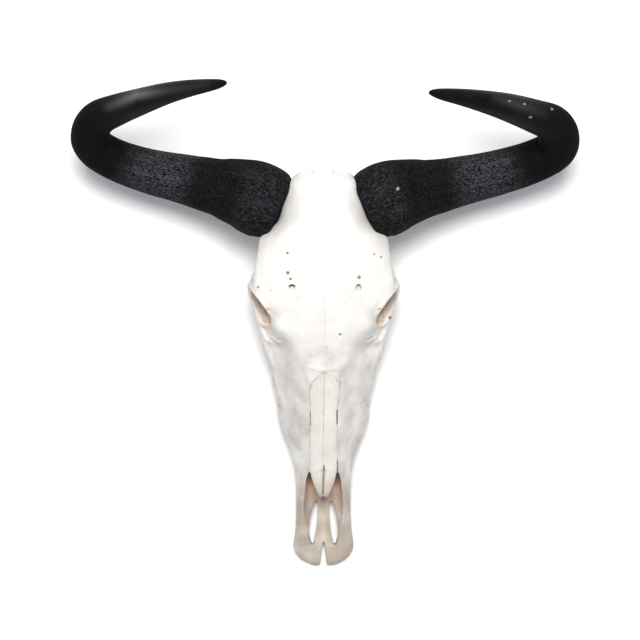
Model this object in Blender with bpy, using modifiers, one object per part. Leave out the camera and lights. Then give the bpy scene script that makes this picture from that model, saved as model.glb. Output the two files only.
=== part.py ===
"""A wildebeest skull with its two horns and its twelve upper cheek teeth, lying on the teeth.

Every size below is in millimetres. X runs across the head, +Y towards its back and +Z up. The
surface that the teeth stand on is z = 0, and Y = 0 is the middle of the whole outline.
"""

import math

import bmesh
import bpy
from mathutils import Matrix, Vector

MM = 0.001

# Fineness of the solids
RING_POINTS = 44
STEPS_BETWEEN_SECTIONS = 3
BONE_VOXEL = 1.6
BONE_SMOOTHING = 3
BONE_TRIANGLES = 4300
TUBE_SIDES = 16
TOOTH_SIDES = 12
HORN_SIDES = 16
HORN_STEPS = 2
BALL_SEGMENTS = 32
BALL_RINGS = 20

# Clearances between pieces that touch in the real thing
CORE_GAP = 0.5
SEAT_GAP = 1.1
TOOTH_GAP = 0.35
# Sockets stand nearly end to end, so they grow less along the row.
SOCKET_END_SHARE = 0.7

# Sections of the cranium from the muzzle to the back of the head: the distance along Y, then the
# right half of the outline, from the middle of the roof round to the middle of the palate.
SECTIONS = (
    (-284, ((0, 13), (3, 13.5), (6, 13.5), (9, 13.2), (12, 12.5),
     (14.5, 11.2), (15.5, 9.8), (12, 8), (6, 7.6), (0, 7.5))),
    (-276, ((0, 16), (6, 16.5), (12, 17), (18, 17), (24, 16),
     (28, 13.5), (29.5, 11), (24, 7.6), (12, 6.8), (0, 6.8))),
    (-262, ((0, 18), (8, 19), (16, 20.5), (24, 22), (31, 21),
     (36, 17), (37.6, 13), (31, 8), (15, 7.4), (0, 7.4))),
    (-240, ((0, 24), (8, 27), (16, 31), (22, 33), (28, 31),
     (33, 25), (35, 18), (30, 11.5), (15, 10.5), (0, 10.5))),
    (-215, ((0, 38), (8, 42), (15, 46), (21, 47), (27, 42),
     (32, 33), (33.8, 24), (30, 15), (16, 13.5), (0, 13.5))),
    (-192, ((0, 56), (8, 58), (15, 60), (21, 59), (27, 52),
     (32, 41), (33.8, 30), (31, 20), (17, 17), (0, 17))),
    (-172, ((0, 83), (9, 82.6), (15.5, 80), (22, 71), (28, 60),
     (33, 47), (34.4, 36), (32, 25), (18, 21), (0, 21))),
    (-150, ((0, 90), (9, 89.6), (16, 87), (24, 76), (31, 63),
     (36, 50), (37.3, 39), (34, 26), (20, 22), (0, 23))),
    (-130, ((0, 96.5), (9, 96), (16.3, 93.5), (26, 80), (34, 65),
     (41, 51), (44.4, 40), (42, 26), (24, 22), (0, 26))),
    (-115, ((0, 101), (9, 100.6), (16.5, 98), (28, 82), (38, 66),
     (46, 53), (50.5, 42), (49, 27), (28, 23), (0, 29))),
    (-100, ((0, 106), (9, 105.6), (17, 102.5), (30, 86), (41, 69),
     (49, 56), (53.8, 45), (53.5, 24), (30, 22), (0, 32))),
    (-80, ((0, 112), (10, 111.6), (18, 108), (32, 91), (44, 74),
     (52, 60), (55.8, 48), (55.5, 22), (31, 21), (0, 35))),
    (-51, ((0, 121), (10, 120.6), (18.5, 117.5), (35, 99), (48, 82),
     (56, 67), (60.6, 54), (58, 22), (32, 21), (0, 38))),
    (-31, ((0, 128), (14, 127.6), (27, 123), (42, 104), (54, 86),
     (62, 72), (66, 60), (59, 22), (33, 21), (0, 40))),
    (-11, ((0, 136), (22, 135.4), (41, 129), (53, 110), (63, 93),
     (70, 80), (73, 69), (60, 24), (33, 22), (0, 42))),
    (10, ((0, 144), (32, 143), (57, 136), (63, 121), (67, 105),
     (70, 92), (69, 78), (59, 24), (30, 23), (0, 44))),
    (32, ((0, 151), (34, 150), (55, 147), (62, 143), (64, 130),
     (58, 108), (48, 92), (36, 62), (22, 48), (0, 47))),
    (53, ((0, 158), (34, 157), (62, 152), (80, 144), (79, 132),
     (58, 116), (44, 98), (34, 70), (20, 54), (0, 51))),
    (75, ((0, 163), (34, 162), (60, 157), (80, 144), (80, 130),
     (58, 113), (43, 97), (35, 72), (20, 57), (0, 54))),
    (100, ((0, 168), (32, 167), (56, 160), (77, 142), (75, 127),
     (57, 110), (46, 96), (38, 74), (22, 60), (0, 56))),
    (122, ((0, 171), (30, 170), (54, 161), (72, 143), (71, 127),
     (56, 110), (47, 96), (40, 76), (24, 60), (0, 56))),
    (140, ((0, 171), (26, 170), (44, 161), (56, 145), (58, 127),
     (53, 110), (48, 96), (41, 76), (24, 60), (0, 56))),
    (160, ((0, 171), (22, 169), (38, 161), (48, 145), (52, 128),
     (50, 110), (46, 96), (39, 78), (22, 62), (0, 58))),
    (182, ((0, 164), (18, 161), (32, 153), (41, 138), (44, 124),
     (42, 109), (37, 96), (30, 82), (17, 70), (0, 66))),
    (194, ((0, 152), (12, 149), (22, 142), (29, 131), (31, 121),
     (29, 109), (25, 99), (19, 90), (10, 83), (0, 80))),
)

# Right eye socket: the middle line of its rim from the front over the top, and the hollow
ORBIT_RIM_LINE = (
    (61.5, 15, 116), (59, 25, 133), (67.5, 39, 142), (79.5, 54.5, 139),
    (86.5, 62, 120), (86.5, 56, 99), (83, 36, 88), (73, 17, 97),
)
ORBIT_RIM = 3.7
ORBIT_CORNER_REACH = 1.1
ORBIT_CENTRE = Vector((74, 38, 116.5))
ORBIT_FACING = Vector((0.87, -0.38, 0.31)).normalized()
ORBIT_RADIUS = 25.5
ORBIT_DEPTH = 36
ORBIT_SET_BACK = 0.42

# Tubes of bone on the right side, as (x, y, z, half width, half height) along each
CHEEK_ARCH = (
    (54, -34, 66, 9, 9), (64, -12, 74, 9, 11), (73, 14, 84, 7, 11), (80, 36, 89, 5.5, 10),
    (86.5, 56, 97, 5, 9), (84, 68, 98, 4.5, 8), (77.5, 84, 99, 4.5, 8), (72.5, 100, 98, 4.5, 7.5),
    (67, 113, 97, 5, 7.5), (57, 128, 96, 7, 8), (44, 139, 96, 8, 8),
)
ORBIT_BACK_BAR = ((80, 60, 134, 6, 6), (84, 63, 116, 5, 6), (84, 66, 98, 5, 6))
JUGULAR_PROCESS = (
    (34, 172, 84, 9, 11), (36, 178, 55, 6.5, 11), (36.5, 181, 28, 5, 9), (36, 182, 8, 4, 6.5),
    (36, 182, 0, 3.6, 5.5),
)
CONDYLE = ((8, 196, 72, 7, 9), (15, 200, 79, 9, 12), (24, 197, 90, 8, 10), (26, 190, 100, 6, 7))
NASAL_TIP = (
    (8.4, -140, 88.5, 8, 3.6), (8.3, -160, 82.5, 8.2, 3.2), (6.9, -174, 77, 6.9, 2.8),
    (4.3, -187, 71.5, 4.3, 2.4), (3.2, -193, 69, 3, 1.8), (3, -195.5, 68, 1.6, 1.2),
)
LACRIMAL_SWELLING = (
    (52, -14, 84, 10, 11), (59, 6, 86, 13, 11), (62, 24, 86, 13.5, 9.5), (61, 38, 86, 12, 8),
    (60, 50, 87, 6, 5),
)
EAR_BULLA = (
    (22, 134, 56, 4, 5), (23, 141, 54, 10, 12), (23, 150, 56, 11.5, 13.5), (23, 160, 58, 9, 11),
    (23, 166, 60, 4, 5),
)
PALATE_BAR = (
    (4.2, -170, 22, 4.4, 4), (4.4, -200, 18, 4.2, 3.6), (4.4, -230, 15.5, 4, 3.2),
    (5.4, -252, 13.5, 4.5, 3.4), (8, -268, 12, 6, 4),
)
PTERYGOID = ((15, 22, 44, 3.4, 14), (15, 46, 46, 2.4, 14), (15.5, 74, 52, 2.6, 13), (17, 100, 60, 4, 9))
CROWN_RIDGE = (
    (-6, 183, 158, 7, 7), (10, 184, 156, 7, 7), (24, 182, 149, 7, 7), (35, 177, 138, 6, 7),
    (42, 171, 122, 6, 7), (44, 166, 104, 6, 7),
)
HORN_CORE = (
    (26, 135, 127, 36, 33), (40, 143.5, 125, 34, 33), (51.8, 151, 122, 31.5, 31.5), (71.5, 163, 119, 29, 29),
    (89, 169.5, 113.5, 24, 24),
)
# The space for the core in the horn is the same and a little deeper.
CORE_SPACE = HORN_CORE[:-1] + ((90, 169.9, 113.2, 24, 24),)

# Cuts in the right side, in the same form
MUZZLE_TROUGH = (
    (0, -264, 28, 4, 8), (0, -246, 33, 16, 17), (0, -225, 42, 24, 26), (0, -205, 51, 24.5, 35),
    (0, -192, 60, 23, 41), (0, -178, 68, 21.5, 42), (0, -164, 90, 18, 12),
)
TROUGH_POWER = 1.5
NOSE_CAVITY = (
    (0, -205, 42, 20, 20), (0, -180, 50, 22, 24), (0, -150, 56, 24, 27), (0, -110, 62, 30, 30),
    (0, -70, 72, 32, 32), (0, -40, 80, 26, 26),
)
INCISOR_SLIT = (
    (9, -203, 18, 1.4, 30), (9.9, -213, 18, 2.8, 30), (12, -227, 16, 4, 28), (13.3, -239, 14, 4.1, 26),
    (13.2, -250, 13, 2.6, 24), (12.8, -259, 12, 0.7, 22),
)
TIP_NOTCH = ((0, -252, 12, 0.6, 12), (0, -270, 11, 2.8, 12), (0, -290, 10, 4.6, 12))
CHOANA = ((0, 12, 42, 9, 12), (0, 36, 44, 11, 16), (0, 62, 46, 12, 14), (0, 84, 44, 12, 8))
PALATE_VAULT = ((0, -150, 16, 16, 7), (0, -100, 16, 26, 11), (0, -40, 18, 28, 16), (0, 14, 18, 27, 20))
BRAIN_OPENING = ((0, 150, 92, 14, 13), (0, 180, 88, 13, 12), (0, 212, 84, 13, 12))
BROW_HOLE = ((38, 62, 172, 2.8, 3.6), (38, 58, 144, 2.6, 3))
NOSE_SLIT = ((17, -106, 112, 1.1, 6), (17.2, -104, 90, 1.1, 6))

# Teeth of one side from front to back: the name, the length along the row and the width
TEETH = (
    ("premolar_2", 12.5, 11.5),
    ("premolar_3", 15, 14),
    ("premolar_4", 15.5, 16.5),
    ("molar_1", 19, 19),
    ("molar_2", 23, 20.5),
    ("molar_3", 24, 19.5),
)
TOOTH_SPACING = 0.5
ROW_START = -103
ROW_OUTER_X = (47, 54.5)
TOOTH_TOP = 33
CROWN_WAIST = 16
TOOTH_SQUARENESS = 4
# Height and share of the full size, from the chewing face to the root's end
TOOTH_PROFILE = ((0, 0.96), (CROWN_WAIST / 2, 1), (CROWN_WAIST, 0.98), (TOOTH_TOP, 0.86))
# How far a socket's cutter reaches below the chewing face, out of the bone
SOCKET_REACH = 5

# Middle line of each horn from inside the base to the tip, as (x, y, z, radius), or with a half
# width and a half height at the base, where the boss is taller than it is wide
LEFT_HORN = (
    (-51.4, 151.8, 126, 27, 34), (-55, 154, 125.5, 35, 40), (-63.1, 158.6, 123.5, 42, 45),
    (-71.5, 163.1, 121, 45, 46.5), (-90, 170.6, 113.5, 43, 44),
    (-112, 176.8, 106, 38), (-134, 182.5, 98, 33.5), (-173, 192, 90, 29.5), (-212, 201, 87, 27),
    (-250, 213.7, 92, 25), (-273.6, 228, 105, 24), (-276.5, 242, 127, 23), (-264, 256, 155, 21),
    (-239, 263, 183, 18.5), (-208.6, 269, 212, 15.5), (-179, 275, 234, 12.6),
    (-151, 278.7, 252, 9.8), (-123.3, 281, 266, 6.6), (-112, 282, 271, 4.2), (-107, 282.4, 273, 1.6),
)
RIGHT_HORN = (
    (47.9, 151.8, 126, 27, 34), (51.5, 154, 125.5, 35, 40), (59.6, 158.6, 123.5, 42, 45),
    (68, 163.1, 121, 45, 46.5), (86.5, 170.4, 113.5, 43, 44),
    (109.5, 175.8, 106, 38), (132, 180.5, 98, 33.5), (172, 190, 90, 29.5), (210, 199, 87, 27.5),
    (250, 211, 92, 26), (276, 224, 105, 25), (279, 237, 127, 24), (268, 250, 155, 22),
    (243, 256, 182, 19.4), (212, 262, 210, 16.4), (184, 266, 231, 13.2),
    (157, 269, 248, 10), (132, 271, 261, 6.8), (121, 272, 266, 4.2), (116, 272.2, 268, 1.6),
)
SEAT_STATIONS = 6

BONE = ("bleached_bone", (0.80, 0.77, 0.71, 1), 0.75)
KERATIN = ("weathered_horn", (0.025, 0.024, 0.023, 1), 0.6)
ENAMEL = ("tooth_enamel", (0.62, 0.56, 0.45, 1), 0.4)


def clear_scene():
    for obj in list(bpy.data.objects):
        bpy.data.objects.remove(obj)


def new_collection(name):
    collection = bpy.data.collections.new(name)
    bpy.context.scene.collection.children.link(collection)
    return collection


def smooth_through(points, steps):
    """Points of a Catmull-Rom curve through the given ones, with this many steps between each two."""
    rows = [Vector(p) for p in points]
    padded = [2 * rows[0] - rows[1]] + rows + [2 * rows[-1] - rows[-2]]
    out = []
    for i in range(len(rows) - 1):
        before, here, there, after = padded[i : i + 4]
        for k in range(steps):
            t = k / steps
            linear = (there - before) * t
            square = (2 * before - 5 * here + 4 * there - after) * t**2
            cube = (3 * here - before - 3 * there + after) * t**3
            out.append(0.5 * (2 * here + linear + square + cube))
    out.append(rows[-1])
    return out


def spaced(points, count):
    """This many points at equal distances along a run of points."""
    lengths = [0.0]
    for a, b in zip(points, points[1:]):
        lengths.append(lengths[-1] + (b - a).length)
    out, i = [], 0
    for k in range(count):
        goal = lengths[-1] * k / (count - 1)
        while i < len(points) - 2 and lengths[i + 1] < goal:
            i += 1
        share = (goal - lengths[i]) / max(lengths[i + 1] - lengths[i], 1e-9)
        out.append(points[i].lerp(points[i + 1], min(share, 1.0)))
    return out


def loft(name, rings, collection):
    """A closed body through rings of equal counts of points, with a flat face on each end."""
    bm = bmesh.new()
    rows = [[bm.verts.new(Vector(p) * MM) for p in ring] for ring in rings]
    count = len(rows[0])
    for first, second in zip(rows, rows[1:]):
        for i in range(count):
            j = (i + 1) % count
            bm.faces.new((first[i], first[j], second[j], second[i]))
    bm.faces.new(list(reversed(rows[0])))
    bm.faces.new(rows[-1])
    bmesh.ops.recalc_face_normals(bm, faces=bm.faces)
    mesh = bpy.data.meshes.new(name)
    bm.to_mesh(mesh)
    bm.free()
    obj = bpy.data.objects.new(name, mesh)
    collection.objects.link(obj)
    return obj


def tube_rings(stations, side, grow, steps, sides, power=2):
    """Oval rings square to the path of (x, y, z, half width, half height) stations.

    A power of 2 gives ellipses, and a lower one straightens their sides, towards a diamond.
    """
    stations = [(side * s[0], s[1], s[2], s[3], s[-1]) for s in stations]
    places = smooth_through([s[:3] for s in stations], steps)
    sizes = smooth_through([(s[3], s[4], 0) for s in stations], steps)
    rings = []
    start = (places[1] - places[0]).normalized()
    across = Vector((1, 0, 0)) if abs(start.z) > 0.8 else start.cross(Vector((0, 0, 1)))
    for i, (place, size) in enumerate(zip(places, sizes)):
        along = (places[min(i + 1, len(places) - 1)] - places[max(i - 1, 0)]).normalized()
        across = (across - along * across.dot(along)).normalized()
        over = across.cross(along)
        ring = []
        for k in range(sides):
            turn = math.tau * k / sides
            wide = math.copysign(abs(math.cos(turn)) ** (2 / power), math.cos(turn))
            high = math.copysign(abs(math.sin(turn)) ** (2 / power), math.sin(turn))
            ring.append(place + across * (size.x + grow) * wide + over * (size.y + grow) * high)
        rings.append(ring)
    return rings


def tube(name, stations, collection, side=1, grow=0.0, steps=3, sides=TUBE_SIDES, power=2):
    """A closed bar of oval section along the stations, on the right or mirrored to the left."""
    return loft(name, tube_rings(stations, side, grow, steps, sides, power), collection)


def pair(name, stations, collection, **options):
    """The same tube on the right and on the left."""
    for word, side in (("right", 1), ("left", -1)):
        tube(f"{word}_{name}", stations, collection, side, **options)


def section_ring(half):
    """A whole section from its right half, with evenly spaced points."""
    right = spaced(smooth_through([(x, 0, z) for x, z in half], 4), RING_POINTS // 2 + 1)
    left = [Vector((-p.x, 0, p.z)) for p in reversed(right[1:-1])]
    return right + left


def cranium(collection):
    """The main body of the head, lofted through its sections."""
    distances = smooth_through([(y, 0, 0) for y, _ in SECTIONS], STEPS_BETWEEN_SECTIONS)
    rings = [section_ring(half) for _, half in SECTIONS]
    columns = [smooth_through(column, STEPS_BETWEEN_SECTIONS) for column in zip(*rings)]
    placed = []
    for i, distance in enumerate(distances):
        placed.append([Vector((column[i].x, distance.x, column[i].z)) for column in columns])
    return loft("skull", placed, collection)


def facing_matrix(centre, facing, side):
    """Places a shape whose own Z is to point along the facing direction."""
    centre = Vector((side * centre.x, centre.y, centre.z)) * MM
    facing = Vector((side * facing.x, facing.y, facing.z))
    return Matrix.Translation(centre) @ facing.to_track_quat("Z", "Y").to_matrix().to_4x4()


def orbit_rim(side, word, collection):
    """The rim as a bevelled curve that closes on itself, made a mesh."""
    curve = bpy.data.curves.new(f"{word}_orbit_line", "CURVE")
    curve.dimensions = "3D"
    curve.bevel_depth = ORBIT_RIM * MM
    curve.bevel_resolution = 2
    curve.resolution_u = 5
    spline = curve.splines.new("NURBS")
    spline.points.add(len(ORBIT_RIM_LINE) - 1)
    for point, (x, y, z) in zip(spline.points, ORBIT_RIM_LINE):
        # A smooth closed curve cuts its control points' corners, so they stand further out.
        place = ORBIT_CENTRE + (Vector((x, y, z)) - ORBIT_CENTRE) * ORBIT_CORNER_REACH
        point.co = (side * place.x * MM, place.y * MM, place.z * MM, 1)
    spline.use_cyclic_u = True
    line = bpy.data.objects.new(curve.name, curve)
    collection.objects.link(line)
    graph = bpy.context.evaluated_depsgraph_get()
    mesh = bpy.data.meshes.new_from_object(line.evaluated_get(graph))
    bpy.data.objects.remove(line)
    bm = bmesh.new()
    bm.from_mesh(mesh)
    bmesh.ops.remove_doubles(bm, verts=bm.verts, dist=0.00005)
    bmesh.ops.recalc_face_normals(bm, faces=bm.faces)
    bm.to_mesh(mesh)
    bm.free()
    collection.objects.link(bpy.data.objects.new(f"{word}_orbit_rim", mesh))


def orbit_hollow(side, word, collection):
    """The hollow of the eye socket: an ellipsoid that faces out, forwards and a little up."""
    centre = ORBIT_CENTRE - ORBIT_FACING * ORBIT_DEPTH * ORBIT_SET_BACK
    hollow = ball(f"{word}_orbit_hollow", (ORBIT_RADIUS, ORBIT_RADIUS, ORBIT_DEPTH), collection)
    hollow.matrix_world = facing_matrix(centre, ORBIT_FACING, side)


def ball(name, radii, collection):
    """An ellipsoid about the origin."""
    bm = bmesh.new()
    bmesh.ops.create_uvsphere(bm, u_segments=BALL_SEGMENTS, v_segments=BALL_RINGS, radius=1)
    bmesh.ops.scale(bm, vec=Vector(radii) * MM, verts=bm.verts)
    mesh = bpy.data.meshes.new(name)
    bm.to_mesh(mesh)
    bm.free()
    obj = bpy.data.objects.new(name, mesh)
    collection.objects.link(obj)
    return obj


def tooth_block(name, index, side, grow, collection):
    """One tooth: a flat-topped block with rounded corners and a waist, standing crown down."""
    lengths = [length + TOOTH_SPACING for _, length, _ in TEETH]
    start = ROW_START + sum(lengths[:index])
    length, width = TEETH[index][1:]
    share = (start + length / 2 - ROW_START) / (sum(lengths) - TOOTH_SPACING)
    outer = ROW_OUTER_X[0] + (ROW_OUTER_X[1] - ROW_OUTER_X[0]) * share
    middle_x = side * (outer - width / 2)
    middle_y = start + length / 2
    rings = []
    for z, spread in TOOTH_PROFILE:
        if grow and z == 0:
            z = -SOCKET_REACH
        if z == TOOTH_TOP:
            z += grow
        ring = []
        for k in range(TOOTH_SIDES):
            turn = math.tau * (k + 0.5) / TOOTH_SIDES
            x, y = math.cos(turn), math.sin(turn)
            squared = (abs(x) ** TOOTH_SQUARENESS + abs(y) ** TOOTH_SQUARENESS) ** (-1 / TOOTH_SQUARENESS)
            ring.append(
                Vector((
                    middle_x + x * squared * (width / 2 * spread + grow),
                    middle_y + y * squared * (length / 2 * spread + grow * SOCKET_END_SHARE),
                    z,
                ))
            )
        rings.append(ring)
    return loft(name, rings, collection)


def boolean(obj, name, operation, collection):
    """Joins a collection's bodies to the object, or cuts them out of it."""
    modifier = obj.modifiers.new(name, "BOOLEAN")
    modifier.operation = operation
    modifier.operand_type = "COLLECTION"
    modifier.collection = collection
    modifier.solver = "EXACT"


def helper_collection(name):
    collection = new_collection(name)
    collection.hide_render = True
    return collection


def hide_helpers(collections):
    for collection in collections:
        for obj in collection.objects:
            obj.hide_render = True
            obj.display_type = "WIRE"


def thinned(obj, triangles):
    """Decimates the object's evaluated surface to about this many triangles."""
    graph = bpy.context.evaluated_depsgraph_get()
    mesh = obj.evaluated_get(graph).to_mesh()
    faces = 2 * len(mesh.polygons)
    thin = obj.modifiers.new("thin", "DECIMATE")
    thin.ratio = min(1.0, triangles / faces)


def paint(obj, finish):
    """Gives the object its material: a name, a colour and a roughness."""
    name, colour, roughness = finish
    material = bpy.data.materials.get(name) or bpy.data.materials.new(name)
    material.use_nodes = True
    shader = material.node_tree.nodes["Principled BSDF"]
    shader.inputs["Base Color"].default_value = colour
    shader.inputs["Roughness"].default_value = roughness
    obj.data.materials.append(material)
    obj.data.shade_smooth()


def seat_stations(stations):
    """The horn's first stations, with one more in front that gives the base its clearance."""
    first, second = (Vector(station[:3]) for station in stations[:2])
    start = first + (first - second).normalized() * SEAT_GAP
    return (tuple(start) + stations[0][3:],) + stations[:SEAT_STATIONS]


def build_skull(parts):
    """The cranium: its body, what stands out of it, its hollows and its seats for teeth and horns."""
    first_cuts = helper_collection("first_hollows")
    added = helper_collection("added_bone")
    last_cuts = helper_collection("last_hollows")
    seats = helper_collection("seats")
    cores = helper_collection("horn_cores")

    tube("muzzle_trough", MUZZLE_TROUGH, first_cuts, power=TROUGH_POWER)
    tube("nose_cavity", NOSE_CAVITY, first_cuts)
    tube("palate_vault", PALATE_VAULT, first_cuts)
    tube("choana", CHOANA, first_cuts)
    pair("cheek_arch", CHEEK_ARCH, added)
    pair("orbit_back_bar", ORBIT_BACK_BAR, added)
    pair("jugular_process", JUGULAR_PROCESS, added)
    pair("condyle", CONDYLE, added)
    pair("nasal_tip", NASAL_TIP, added)
    pair("palate_bar", PALATE_BAR, added)
    pair("pterygoid", PTERYGOID, added)
    pair("crown_ridge", CROWN_RIDGE, added)
    pair("lacrimal_swelling", LACRIMAL_SWELLING, added)
    pair("ear_bulla", EAR_BULLA, added)
    for word, side in (("right", 1), ("left", -1)):
        orbit_rim(side, word, added)
        orbit_hollow(side, word, last_cuts)
    pair("incisor_slit", INCISOR_SLIT, last_cuts)
    tube("tip_notch", TIP_NOTCH, last_cuts)
    tube("brain_opening", BRAIN_OPENING, last_cuts)
    pair("brow_hole", BROW_HOLE, last_cuts)
    pair("nose_slit", NOSE_SLIT, last_cuts)

    skull = cranium(parts)
    boolean(skull, "carve", "DIFFERENCE", first_cuts)
    boolean(skull, "add", "UNION", added)
    boolean(skull, "open", "DIFFERENCE", last_cuts)
    grain = skull.modifiers.new("grain", "REMESH")
    grain.mode = "VOXEL"
    grain.voxel_size = BONE_VOXEL * MM
    soften = skull.modifiers.new("soften", "SMOOTH")
    soften.iterations = BONE_SMOOTHING
    thinned(skull, BONE_TRIANGLES)

    for index, (tooth, _, _) in enumerate(TEETH):
        for word, side in (("right", 1), ("left", -1)):
            tooth_block(f"{word}_{tooth}_socket", index, side, TOOTH_GAP, seats)
    for word, stations in (("left", LEFT_HORN), ("right", RIGHT_HORN)):
        tube(
            f"{word}_horn_seat", seat_stations(stations), seats,
            grow=SEAT_GAP, steps=HORN_STEPS, sides=HORN_SIDES,
        )
    pair("horn_core", HORN_CORE, cores, steps=2, sides=HORN_SIDES)
    boolean(skull, "seat", "DIFFERENCE", seats)
    boolean(skull, "core", "UNION", cores)
    hide_helpers((first_cuts, added, last_cuts, seats, cores))
    paint(skull, BONE)


def build_horn(word, stations, side, parts):
    """One horn sheath with the socket for its bony core."""
    sockets = helper_collection(f"{word}_horn_socket")
    tube(f"{word}_core_space", CORE_SPACE, sockets, side, CORE_GAP, steps=2, sides=HORN_SIDES)
    horn = tube(f"{word}_horn", stations, parts, steps=HORN_STEPS, sides=HORN_SIDES)
    boolean(horn, "socket", "DIFFERENCE", sockets)
    hide_helpers((sockets,))
    paint(horn, KERATIN)


def build_teeth(parts):
    for index, (tooth, _, _) in enumerate(TEETH):
        for word, side in (("left", -1), ("right", 1)):
            paint(tooth_block(f"{word}_{tooth}", index, side, 0, parts), ENAMEL)


def main():
    clear_scene()
    parts = new_collection("wildebeest_skull")
    build_skull(parts)
    build_horn("left", LEFT_HORN, -1, parts)
    build_horn("right", RIGHT_HORN, 1, parts)
    build_teeth(parts)


main()
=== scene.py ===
"""Looks of a weathered wildebeest skull with its horns and upper cheek teeth, lying on a white floor.

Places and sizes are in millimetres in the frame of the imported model: X across the head, +Y to its
back, +Z up, z = 0 the surface that it lies on. A mark seen in the photograph is placed by its pixels,
through the same camera that the scene is rendered with.
"""

import logging
import math
from dataclasses import dataclass
from enum import Enum
from typing import Any, Sequence

import bmesh
import bpy
import numpy as np
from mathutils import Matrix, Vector


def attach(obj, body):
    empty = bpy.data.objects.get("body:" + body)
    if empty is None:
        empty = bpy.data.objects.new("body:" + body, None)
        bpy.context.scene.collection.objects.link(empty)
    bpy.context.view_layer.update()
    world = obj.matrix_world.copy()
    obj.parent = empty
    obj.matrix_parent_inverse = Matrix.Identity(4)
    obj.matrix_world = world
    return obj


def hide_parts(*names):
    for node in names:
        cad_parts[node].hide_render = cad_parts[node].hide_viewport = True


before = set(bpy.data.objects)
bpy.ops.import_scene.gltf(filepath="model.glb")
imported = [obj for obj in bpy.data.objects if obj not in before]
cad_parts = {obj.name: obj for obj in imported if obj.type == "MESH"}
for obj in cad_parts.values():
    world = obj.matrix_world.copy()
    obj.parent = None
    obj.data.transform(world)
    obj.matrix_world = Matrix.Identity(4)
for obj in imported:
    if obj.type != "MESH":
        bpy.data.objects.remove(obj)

MM = 0.001
LOG = logging.getLogger("wildebeest_skull")

Points = Sequence[Sequence[float]]
Socket = bpy.types.NodeSocket
# Distance across a joint between bones that stands for none, in millimetres
NO_JOINT = 50.0


class View(Enum):
    """The direction that a mark on the bone is placed from."""

    PHOTO = "photo"
    SIDE = "side"
    REAR = "rear"
    UNDER = "under"


class Side(Enum):
    """A side of the head, with the sign of X there."""

    LEFT = -1
    RIGHT = 1

    @property
    def word(self) -> str:
        """The side's name in a piece's name."""
        return self.name.lower()


@dataclass(frozen=True)
class PhotoCamera:
    """The photograph's viewpoint, straight above the head.

    Attributes:
        x: Place across the head.
        y: Place along the head.
        height: Height above the floor.
        focal_pixels: Focal length in pixels of the photograph's frame.
        frame_pixels: Side of the square frame.
        sensor: Width of the sensor.
    """

    x: float = -4.3
    y: float = 21.0
    height: float = 2200.0
    focal_pixels: float = 1750.0
    frame_pixels: float = 640.0
    sensor: float = 36.0

    def pixels(self, points: np.ndarray) -> np.ndarray:
        """Finds where the camera sees each point.

        Args:
            points: One row of x, y, z for each point.

        Returns:
            One row for each point of its pixel across and its pixel down.
        """
        reach = self.focal_pixels / (self.height - points[:, 2])
        across = self.frame_pixels / 2 + (points[:, 0] - self.x) * reach
        down = self.frame_pixels / 2 - (points[:, 1] - self.y) * reach
        return np.column_stack((across, down))

    def pixel_at(self, height: float) -> float:
        """The size in millimetres of one pixel at this height above the floor."""
        return (self.height - height) / self.focal_pixels

    def build(self) -> None:
        """Adds the camera and makes it the scene's."""
        bpy.ops.object.camera_add(location=(self.x * MM, self.y * MM, self.height * MM), rotation=(0, 0, 0))
        camera = bpy.context.object
        camera.name = "photo_camera"
        camera.data.sensor_width = self.sensor
        camera.data.lens = self.sensor * self.focal_pixels / self.frame_pixels
        camera.data.clip_end = 20
        bpy.context.scene.camera = camera


@dataclass(frozen=True)
class Studio:
    """The white table and the soft light over it.

    Attributes:
        table_radius: Half the width of the table top.
        lamp_side: Side of the square lamp.
        lamp_place: Middle of the lamp.
        lamp_target: What the lamp is turned to.
        lamp_power: Power of the lamp in watts.
        lamp_tint: Linear colour of the lamp.
        sky_strength: Strength of the white surroundings.
        sky_tint: Linear colour of the white surroundings.
    """

    table_radius: float = 6000.0
    lamp_side: float = 760.0
    lamp_place: tuple[float, float, float] = (0.0, 610.0, 2500.0)
    lamp_target: tuple[float, float, float] = (0.0, 50.0, 80.0)
    lamp_power: float = 70.0
    lamp_tint: tuple[float, float, float] = (1.0, 0.985, 0.965)
    sky_strength: float = 0.41
    sky_tint: tuple[float, float, float, float] = (0.93, 0.96, 1.0, 1.0)

    def build(self) -> None:
        """Adds the table, the lamp and the surroundings."""
        bpy.ops.mesh.primitive_circle_add(vertices=64, radius=self.table_radius * MM, fill_type="NGON")
        table = bpy.context.object
        table.name = "white_table"
        table.data.materials.append(WhiteTable().build())
        place = Vector(self.lamp_place) * MM
        bpy.ops.object.light_add(type="AREA", location=place)
        lamp = bpy.context.object
        lamp.name = "soft_lamp"
        lamp.data.size = self.lamp_side * MM
        lamp.data.energy = self.lamp_power
        lamp.data.color = self.lamp_tint
        lamp.rotation_euler = (Vector(self.lamp_target) * MM - place).to_track_quat("-Z", "Y").to_euler()
        world = bpy.data.worlds.new("white_surroundings")
        world.use_nodes = True
        sky = world.node_tree.nodes["Background"]
        sky.inputs["Color"].default_value = self.sky_tint
        sky.inputs["Strength"].default_value = self.sky_strength
        bpy.context.scene.world = world
        bpy.context.scene.view_settings.view_transform = "Standard"


def colour(code: str) -> tuple[float, float, float, float]:
    """Turns an sRGB hex code to the linear colour that a shader takes.

    Args:
        code: Six hex digits.

    Returns:
        Red, green, blue and 1.
    """
    parts = [int(code[i : i + 2], 16) / 255 for i in (0, 2, 4)]
    linear = [p / 12.92 if p <= 0.04045 else ((p + 0.055) / 1.055) ** 2.4 for p in parts]
    return (linear[0], linear[1], linear[2], 1.0)


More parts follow.
